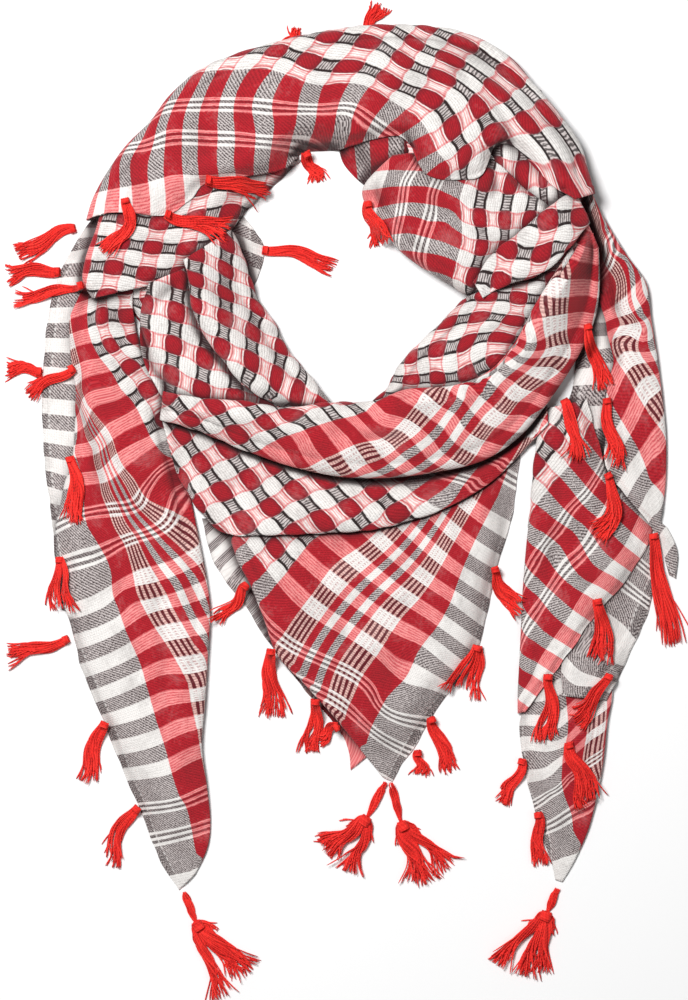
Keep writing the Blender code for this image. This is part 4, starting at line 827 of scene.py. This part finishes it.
def cloth_map(pins):
    """A smooth map from the layout to cloth coordinates through the pins (thin-plate spline)."""
    pins = np.array([(x, y, u, v) for u, row in pins.items() for x, y, v in row], float)
    places, values = pins[:, :2] / PIN_SCALE, pins[:, 2:]

    def bend(distance):
        return np.where(distance > 0, distance**2 * np.log(np.maximum(distance, 1e-9)), 0)

    count = len(pins)
    kernel = bend(np.linalg.norm(places[:, None] - places[None], axis=2)) + np.eye(count) * PIN_SLACK
    flat = np.c_[np.ones(count), places]
    system = np.block([[kernel, flat], [flat.T, np.zeros((3, 3))]])
    weights = np.linalg.solve(system, np.r_[values, np.zeros((3, 2))])

    def read(x, y):
        at = np.stack([x, y], axis=-1) / PIN_SCALE
        away = np.linalg.norm(at[..., None, :] - places, axis=-1)
        return bend(away) @ weights[:count] + weights[count] + at @ weights[count + 1:]

    return read


def basket_relief(u, v):
    """How far the floats of the basket weave stand up: 0 to 1."""
    u, v = np.abs(u), np.abs(v)
    a = in_period(u, WARP_START, WARP_WHITE, WARP_PERIOD)
    b = in_period(v, np.where(v > SECOND_START, SECOND_END, WEFT_START), WEFT_WHITE, WEFT_PERIOD)
    zone = (u > WARP_START) & ((v > WEFT_START) & (v < SECOND_START) | (v > SECOND_END))

    def bulge(*places):
        return math.prod(np.clip(1 - (p / size) ** 2, 0, 1) ** 0.8 for p, size in zip(places, FLOAT_SIZE))

    return np.where(zone, np.maximum(bulge(a, b), bulge(1 - np.abs(a), 1 - np.abs(b))), 0.0)


def fold_height(x, y, folds):
    """Soft ridges and troughs along the creases, shallow at both ends."""
    total = np.zeros_like(x)
    for points, width, height in folds:
        line = spline(points, CREASE_POINTS)
        middle, reach = line.mean(axis=0), np.ptp(line, axis=0) / 2 + CREASE_MARGIN
        near = (np.abs(x - middle[0]) < reach[0]) & (np.abs(y - middle[1]) < reach[1])
        away = np.hypot(x[near][:, None] - line[:, 0], y[near][:, None] - line[:, 1])
        nearest = away.argmin(axis=-1) / (len(line) - 1)
        ends = np.clip(np.minimum(nearest, 1 - nearest) / 0.25, 0, 1)
        total[near] += height * np.exp(-((away.min(axis=-1) / width) ** 2)) * (0.15 + 0.85 * ends)
    return total


def ripple(x, y, seed):
    """Small uneven wrinkles, a few tenths of a millimetre high."""
    random = np.random.default_rng(seed)
    total = np.zeros_like(x)
    for _ in range(RIPPLES):
        angle, length, phase = random.uniform(0, np.pi), random.uniform(*RIPPLE_LENGTHS), random.uniform(0, 6.3)
        wave = np.sin((x * np.cos(angle) + y * np.sin(angle)) * 2 * np.pi / length + phase)
        total += wave * length / RIPPLE_LENGTHS[1]
    return total / 5


def add_object(name, data):
    obj = bpy.data.objects.new(name, data)
    bpy.context.scene.collection.objects.link(obj)
    return obj


def add_mesh(name, points, faces, layer, coordinates, material):
    """A smooth mesh, given in the layout's millimetres, with a layer of coordinates for its material."""
    mesh = bpy.data.meshes.new(name)
    mesh.from_pydata(((points - ORIGIN) * MM).tolist(), [], faces)
    corners = np.empty(len(mesh.loops), np.int32)
    mesh.loops.foreach_get("vertex_index", corners)
    values = coordinates[corners].ravel().astype(np.float32)
    mesh.uv_layers.new(name=layer).data.foreach_set("uv", values)
    mesh.shade_smooth()
    mesh.materials.append(material)
    return add_object(name, mesh)


def grid_faces(index, beside):
    """Faces over a grid of points, from their numbers and the numbers of the points beside them."""
    return np.stack([index[:-1], index[1:], beside[1:], beside[:-1]], axis=-1).reshape(-1, 4)


def shell(name, top, under, cloth, material):
    """A closed thin shell from its two grids of points, with cloth coordinates."""
    index = np.arange(top[..., 0].size).reshape(top.shape[:2])
    size = index.size
    quads = grid_faces(index[:, :-1], index[:, 1:])
    rim = np.r_[index[0, :-1], index[:-1, -1], index[-1, :0:-1], index[:0:-1, 0]]
    after = np.roll(rim, -1)
    sides = np.stack([rim, after, after + size, rim + size], axis=-1)
    faces = np.r_[quads, quads[:, ::-1] + size, sides]
    points = np.r_[top.reshape(-1, 3), under.reshape(-1, 3)]
    first = points[quads[len(quads) // 2]]
    if np.cross(first[1] - first[0], first[2] - first[0])[2] < 0:
        faces = faces[:, ::-1]
    flat = np.r_[cloth.reshape(-1, 2), cloth.reshape(-1, 2)]
    return add_mesh(name, points, faces.tolist(), "cloth", flat, material)


def cross_sections(rows, edges):
    """The two rails, the direction and the rolled edges' radii of each row, and points in between."""
    left, right = rows[:, 0:2], rows[:, 2:4]
    width = np.linalg.norm(right - left, axis=1)
    across = (right - left) / width[:, None]
    radius = [np.minimum(ROLL_RADIUS, 0.4 * width) * (edge == ROLL) for edge in edges]
    between = width - radius[0] - radius[1]
    parts = np.linspace(0, 1, max(4, round(float(between.max()) / STEP) + 1))
    start = left + across * radius[0][:, None]
    middle = start[:, None] + across[:, None] * (between[:, None] * parts)[..., None]
    return left, right, across, radius, middle[..., 0], middle[..., 1]


def roll_under(rail, inward, reach, top, low, cloth):
    """An edge that turns down and under: points from the outside in, and their cloth coordinates."""
    half = (top - low) / 2
    turned, placed = [], []
    for angle in ROLL_ANGLES:
        turn = math.radians(angle)
        at = rail + inward * (reach * (1 - math.cos(turn)))[:, None]
        turned.append(np.c_[at, low + half + half * math.sin(turn)])
        arc = (reach + half) / 2 * (math.pi / 2 - turn)
        placed.append(cloth(*(rail + inward * (reach - arc)[:, None]).T))
    return np.stack(turned, axis=1), np.stack(placed, axis=1)


def add_sheet(ground, name, edges, rows, material):
    """One stretch of cloth, draped over its CAD solid and what is below."""
    left, right, across, radius, x, y = cross_sections(spline(rows), edges)
    if FLAT in edges:
        sway = ripple(x * SWAY_FINER, y * SWAY_FINER, len(name)) * SWAY
        for edge, place in zip(edges, (0, -1)):
            if edge == FLAT:
                near = np.exp(-np.hypot(x - x[:, [place]], y - y[:, [place]]) / SWAY_REACH)
                x = x + across[:, :1] * sway * near
                y = y + across[:, 1:] * sway * near
    limit = ground.spread(ground.height, 2)

    def lowest(x, y):
        return np.maximum(ground.at(limit, x, y) + CLEAR + THICKNESS, FLOOR_GAP + THICKNESS)

    rest = lowest(x, y)
    form = run_on(node_top(name), RUN_ON)
    z = ground.at(form, x, y) + ground.at(ground.dent, x, y) + ripple(x, y, len(name) + 7) * RIPPLE_HEIGHT
    for edge, place in zip(edges, (0, -1)):
        if edge != ROLL:
            ease = np.clip(np.hypot(x - x[:, [place]], y - y[:, [place]]) / EASE, 0, 1)
            ease = ease * ease * (3 - 2 * ease)
            z = np.minimum(z, rest + np.maximum(z - rest, 0) * ease)
    short = np.maximum(rest - z, 0)
    for _ in range(3):
        wide = np.pad(short, 1, mode="edge")
        near = [wide[1:-1, 1:-1], wide[2:, 1:-1], wide[:-2, 1:-1], wide[1:-1, 2:], wide[1:-1, :-2]]
        short = np.maximum(short, np.mean(near, axis=0))
    z = z + short
    cloth = cloth_map(PINS[name])
    columns, values = [np.stack([x, y, z], axis=-1)], [cloth(x, y)]
    for edge, side, place, rail, reach in zip(edges, (1, -1), (0, -1), (left, right), radius):
        if edge == ROLL:
            low = np.minimum(lowest(*rail.T), z[:, place] - 0.5)
            turned, placed = roll_under(rail, side * across, reach, z[:, place], low, cloth)
            outer = 0 if side == 1 else len(columns)
            columns.insert(outer, turned[:, ::side])
            values.insert(outer, placed[:, ::side])
    top, uv = np.concatenate(columns, axis=1), np.concatenate(values, axis=1)
    normal = unit(np.cross(np.gradient(top, axis=1), np.gradient(top, axis=0)))
    normal *= np.sign(normal[..., 2].mean())
    relief = basket_relief(uv[..., 0], uv[..., 1])[..., None] * RELIEF
    under = top - normal * THICKNESS + normal * relief * UNDER_RELIEF
    top = top + normal * relief
    obj = shell("cloth_" + name, top, under, uv, material)
    ground.lay_grid(top)
    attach(obj, "root")
    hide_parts(name)
    steps_across, steps_along = (np.linalg.norm(np.diff(top, axis=axis), axis=-1) for axis in (1, 0))
    flat = (steps_across.sum(axis=1).max() * MM, steps_along.sum(axis=0).max() * MM)
    area = (steps_across[:-1].mean() * steps_along[:, :-1].mean()) * steps_across[:-1].size * MM**2
    area = min(max(area, LEAST_AREA * flat[0] * flat[1]), flat[0] * flat[1])
    return obj


def paint_shade_in_hollows(ground, pieces):
    """Marks how far each point lies below the cloth round it, from 0 to 1, as painted shade that darkens the
    cloth's colour in creases and beside taller layers.
    """
    around = ground.soften(ground.soften(ground.height, 4), 3)
    for piece in pieces:
        mesh = piece.data
        points = np.empty(len(mesh.vertices) * 3)
        mesh.vertices.foreach_get("co", points)
        x, y, z = (points.reshape(-1, 3) / MM + ORIGIN).T
        layer = mesh.attributes.new("painted_hollow_shade", "FLOAT", "POINT")
        depth = np.clip((ground.at(around, x, y) - z) / PAINTED_SHADE_DEPTH, 0, 1)
        layer.data.foreach_set("value", depth.astype(np.float32))


def add_core(ground, name, rows, material):
    """Hidden layers of cloth: a flat underside, rounded folded edges and a crowned top."""
    ring = rows[0] == rows[-1]
    fine = spline(rows)
    fine = fine[:-1] if ring else fine
    sections = []
    for *rails, height in fine[::3]:
        left, right = np.array(rails[:2]), np.array(rails[2:])
        width = np.linalg.norm(right - left)
        across = (right - left) / width
        profile = [FOOT]
        for layer in range(LAYERS):
            for part in np.linspace(0.1, 0.9, 5):
                inset = (layer + 1) * LAYER_STEP - LAYER_BULGE * math.sin(math.pi * part)
                profile.append((inset, (layer + part) * height / LAYERS_HIGH))
        profile += [(inset, height * part) for inset, part in CROWN]
        profile = [(min(inset, 0.45 * width), z) for inset, z in profile]
        side = [np.r_[left + across * inset, z] for inset, z in profile]
        other = [np.r_[right - across * inset, z] for inset, z in profile[::-1]]
        sections.append(side + [np.r_[(left + right) / 2, height * PEAK]] + other)
    points = np.array(sections)
    count, size = points.shape[:2]
    x, y, z = np.moveaxis(points, -1, 0)
    z -= 0.02
    z += ground.at(ground.dent, x, y) * np.clip(z / 8.0, 0, 1)
    np.maximum(z, 0.0, out=z)
    index = np.arange(count * size).reshape(count, size)
    caps = [] if ring else [index[0].tolist(), index[-1, ::-1].tolist()]
    if ring:
        index = np.r_[index, index[:1]]
    faces = grid_faces(index, np.roll(index, -1, axis=1)).tolist() + caps
    points = points.reshape(-1, 3)
    flat = points[:, :2] + points[:, 2:] + HIDDEN_PLACE
    obj = add_mesh("hidden_" + name, points, faces, "cloth", flat, material)
    obj.data.set_sharp_from_angle(angle=math.radians(50))
    ground.height = np.maximum(ground.height, node_top(name) + ground.dent)
    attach(obj, "root")
    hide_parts(name)


# ---------------------------------------------------------------- tassels


def curve_route(start, bend, end):
    """Points along a quadratic curve, as an array of x and y."""
    t = np.linspace(0, 1, YARN_POINTS)[:, None]
    return (1 - t) ** 2 * start + 2 * t * (1 - t) * bend + t**2 * end


def sideways(route):
    """The direction across a route, at each point."""
    heading = unit(np.gradient(route, axis=0))
    return np.stack([heading[:, 1], -heading[:, 0]], axis=1)


class Yarns:
    """The yarns of one piece's tassels, laid over what is below."""

    def __init__(self, ground, seed):
        self.random = np.random.default_rng(seed)
        self.grid = ground.soften(ground.spread(ground.height, 3), 2)
        self.grid = np.maximum(self.grid, ground.spread(ground.height, 1))
        self.points, self.faces, self.places = [], [], []

    def rest(self, x, y):
        return np.maximum(Ground.at(self.grid, x, y) + CLEAR, FLOOR_GAP)

    def add(self, path, radius):
        """One closed yarn along a path."""
        heading = unit(np.gradient(path, axis=0))
        side = unit(np.cross(heading, [0, 0, 1.0]))
        rise = np.cross(side, heading)
        along = np.r_[0, np.cumsum(np.linalg.norm(np.diff(path, axis=0), axis=1))]
        turns = np.linspace(0, 2 * math.pi, YARN_SIDES, endpoint=False)
        ring = side[:, None] * np.cos(turns)[None, :, None] + rise[:, None] * np.sin(turns)[None, :, None]
        index = np.arange(len(path) * YARN_SIDES).reshape(len(path), YARN_SIDES) + sum(map(len, self.points))
        after = np.roll(index, -1, axis=1)
        quads = np.stack([index[:-1], after[:-1], after[1:], index[1:]], axis=-1).reshape(-1, 4)
        self.faces += [*quads.tolist(), tuple(index[0, ::-1].tolist()), tuple(index[-1].tolist())]
        self.points.append((path[:, None] + ring * radius[:, None, None]).reshape(-1, 3))
        yarn = np.stack([np.repeat(along, YARN_SIDES), np.tile(turns, len(path))], axis=-1)
        self.places.append(yarn + [self.random.uniform(0, 400), 0])

    def add_lock(self, route, half, count, fray):
        """A lock of yarns that turn slowly round each other along a route and part at the tip."""
        random = self.random
        side = sideways(route)
        t = np.linspace(0, 1, len(route))
        start, turns = random.uniform(0, 6.3), random.uniform(0.25, 0.7)
        for k in range(count):
            out = half * math.sqrt((k + 0.5) / count) * (0.45 + 0.55 * np.minimum(t / 0.35, 1))
            turn = start + YARN_TURN * k + 2 * math.pi * turns * t
            stray = random.normal() * fray * np.maximum(t - PARTS_FROM, 0) ** 1.5
            curl = random.uniform(0.1, 0.5) * np.sin(random.uniform(8, 16) * t + random.uniform(0, 6.3)) * t
            x, y = (route + side * (out * np.cos(turn) + stray + curl)[:, None]).T
            z = self.rest(x, y) + YARN_RADIUS + out * (1 + np.sin(turn)) * 0.65
            reach = math.ceil((1 - YARN_SHORT * random.random() ** 2) * len(route))
            radius = np.full(reach, YARN_RADIUS)
            radius[-1] *= YARN_TIP
            self.add(np.stack([x, y, z], axis=1)[:reach], radius)

    def add_knot(self, root, heading, corner):
        """Yarn wrapped round the neck of a tassel."""
        turns, half = CORNER_KNOT if corner else SMALL_KNOT
        step = np.arange(turns * KNOT_STEPS + 1) / KNOT_STEPS
        turn = 2 * math.pi * step
        out = 0.6 + YARN_RADIUS * 1.7 * step
        side = np.array([heading[1], -heading[0]])
        place = root + heading * out[:, None] + side * half * np.cos(turn)[:, None]
        z = self.rest(*root) + YARN_RADIUS + half * 0.8 * (1 + np.sin(turn))
        self.add(np.c_[place, z], np.full(len(step), YARN_RADIUS * 1.15))

    def add_tassel(self, root, middle, tip, spread, locks, stem):
        """Locks that fan out from a knot; a corner tassel also has a stem, and short locks round its knot."""
        random = self.random
        corner = stem is not None
        sway, phase = random.uniform(1.6, 3.2), random.uniform(0, 6.3)
        plain = curve_route(root, middle, tip)
        t = np.linspace(0, 1, YARN_POINTS)
        for k in range(locks):
            offset = -1 + 2 * (k + 0.5) / locks
            lean = random.uniform(-0.3, 0.3)
            fan = (offset + lean) * (KNOT_HALF * (1 - t) + spread / 2 * t**1.1)
            wave = sway * np.sin(4.6 * t + phase + lean * 2) * np.sin(math.pi * t**0.8)
            drift = random.uniform(-1.4, 1.4) * np.sin(7 * t + k) * t
            route = plain + sideways(plain) * (fan + wave + drift)[:, None]
            route = root + (route - root) * (1 - random.uniform(0, 0.16))
            self.add_lock(route, *(CORNER_LOCK if corner else SMALL_LOCK))
        heading = unit(middle - root)
        self.add_knot(root, heading, corner)
        if corner:
            across = np.array([heading[1], -heading[0]])
            for side in SKIRT:
                end = root + heading * SKIRT_LENGTH + across * side
                bend = root + heading * 3 + across * side * 0.8
                self.add_lock(curve_route(root, bend, end), *SMALL_LOCK)
            across = sideways(np.array([stem, root]))[0]
            for offset in (-1, 1):
                bend = (root + stem) / 2 + across * offset * 2.2
                self.add_lock(curve_route(root, bend, stem), *STEM_LOCK)


def add_fringe(ground, name, tassels, material):
    """One piece's tassels, in a single mesh."""
    yarns = Yarns(ground, sum(map(ord, name)))
    for tassel in tassels:
        root, middle, tip, *stem = (np.array(tassel[n:n + 2], float) for n in (0, 2, 4, 8) if n < len(tassel))
        yarns.add_tassel(root, middle, tip, tassel[6], tassel[7], stem[0] if stem else None)
    points = np.concatenate(yarns.points)
    obj = add_mesh("yarn_" + name, points, yarns.faces, "yarn", np.concatenate(yarns.places), material)
    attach(obj, "root")
    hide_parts(name)
    ground.lay(points)


# ---------------------------------------------------------------- stage


def area_light(name, place, size, power):
    data = bpy.data.lights.new(name, "AREA")
    data.shape = "DISK"
    data.size = size
    data.energy = power
    light = add_object(name, data)
    light.location = place
    light.rotation_euler = (-Vector(place)).to_track_quat("-Z", "Y").to_euler()


def add_stage():
    white = bpy.data.materials.new("floor_white")
    white.use_nodes = True
    shader = white.node_tree.nodes["Principled BSDF"]
    feed(shader.inputs["Base Color"], (0.93, 0.93, 0.93))
    feed(shader.inputs["Roughness"], 0.9)
    mesh = bpy.data.meshes.new("floor")
    corners = [(x * FLOOR_HALF, y * FLOOR_HALF, 0) for x, y in ((-1, -1), (1, -1), (1, 1), (-1, 1))]
    mesh.from_pydata(corners, [], [(0, 1, 2, 3)])
    mesh.materials.append(white)
    floor = add_object("floor", mesh)
    area_light("key", KEY_PLACE, KEY_SIZE, KEY_POWER)
    area_light("fill", FILL_PLACE, FILL_SIZE, FILL_POWER)
    world = bpy.data.worlds.new("studio")
    bpy.context.scene.world = world
    world.use_nodes = True
    background = world.node_tree.nodes["Background"]
    feed(background.inputs["Color"], (1, 1, 1))
    feed(background.inputs["Strength"], WORLD_STRENGTH)
    bpy.context.scene.view_settings.view_transform = "Standard"


def add_camera():
    data = bpy.data.cameras.new("camera")
    data.sensor_fit = "VERTICAL"
    data.sensor_height = 24.0
    data.lens = data.sensor_height * CAMERA_HEIGHT / VIEW_HEIGHT
    data.clip_end = 20
    camera = add_object("camera", data)
    camera.location = (-CENTRE[0] * MM, -CENTRE[1] * MM, CAMERA_HEIGHT)
    bpy.context.scene.camera = camera


def main():
    cotton, yarn = cloth_material(), yarn_material()
    ground = Ground()
    for name, rows in CORES.items():
        add_core(ground, name, rows, cotton)
    for name in FRINGE_BELOW:
        add_fringe(ground, name, FRINGE[name], yarn)
    sheets = [add_sheet(ground, name, edges, rows, cotton) for name, (*edges, rows) in SHEETS.items()]
    # Painted shade in the creases and beside taller layers, stored on each sheet for its colour.
    paint_shade_in_hollows(ground, sheets)
    for name, tassels in FRINGE.items():
        if name not in FRINGE_BELOW:
            add_fringe(ground, name, tassels, yarn)
    add_stage()
    add_camera()


main()
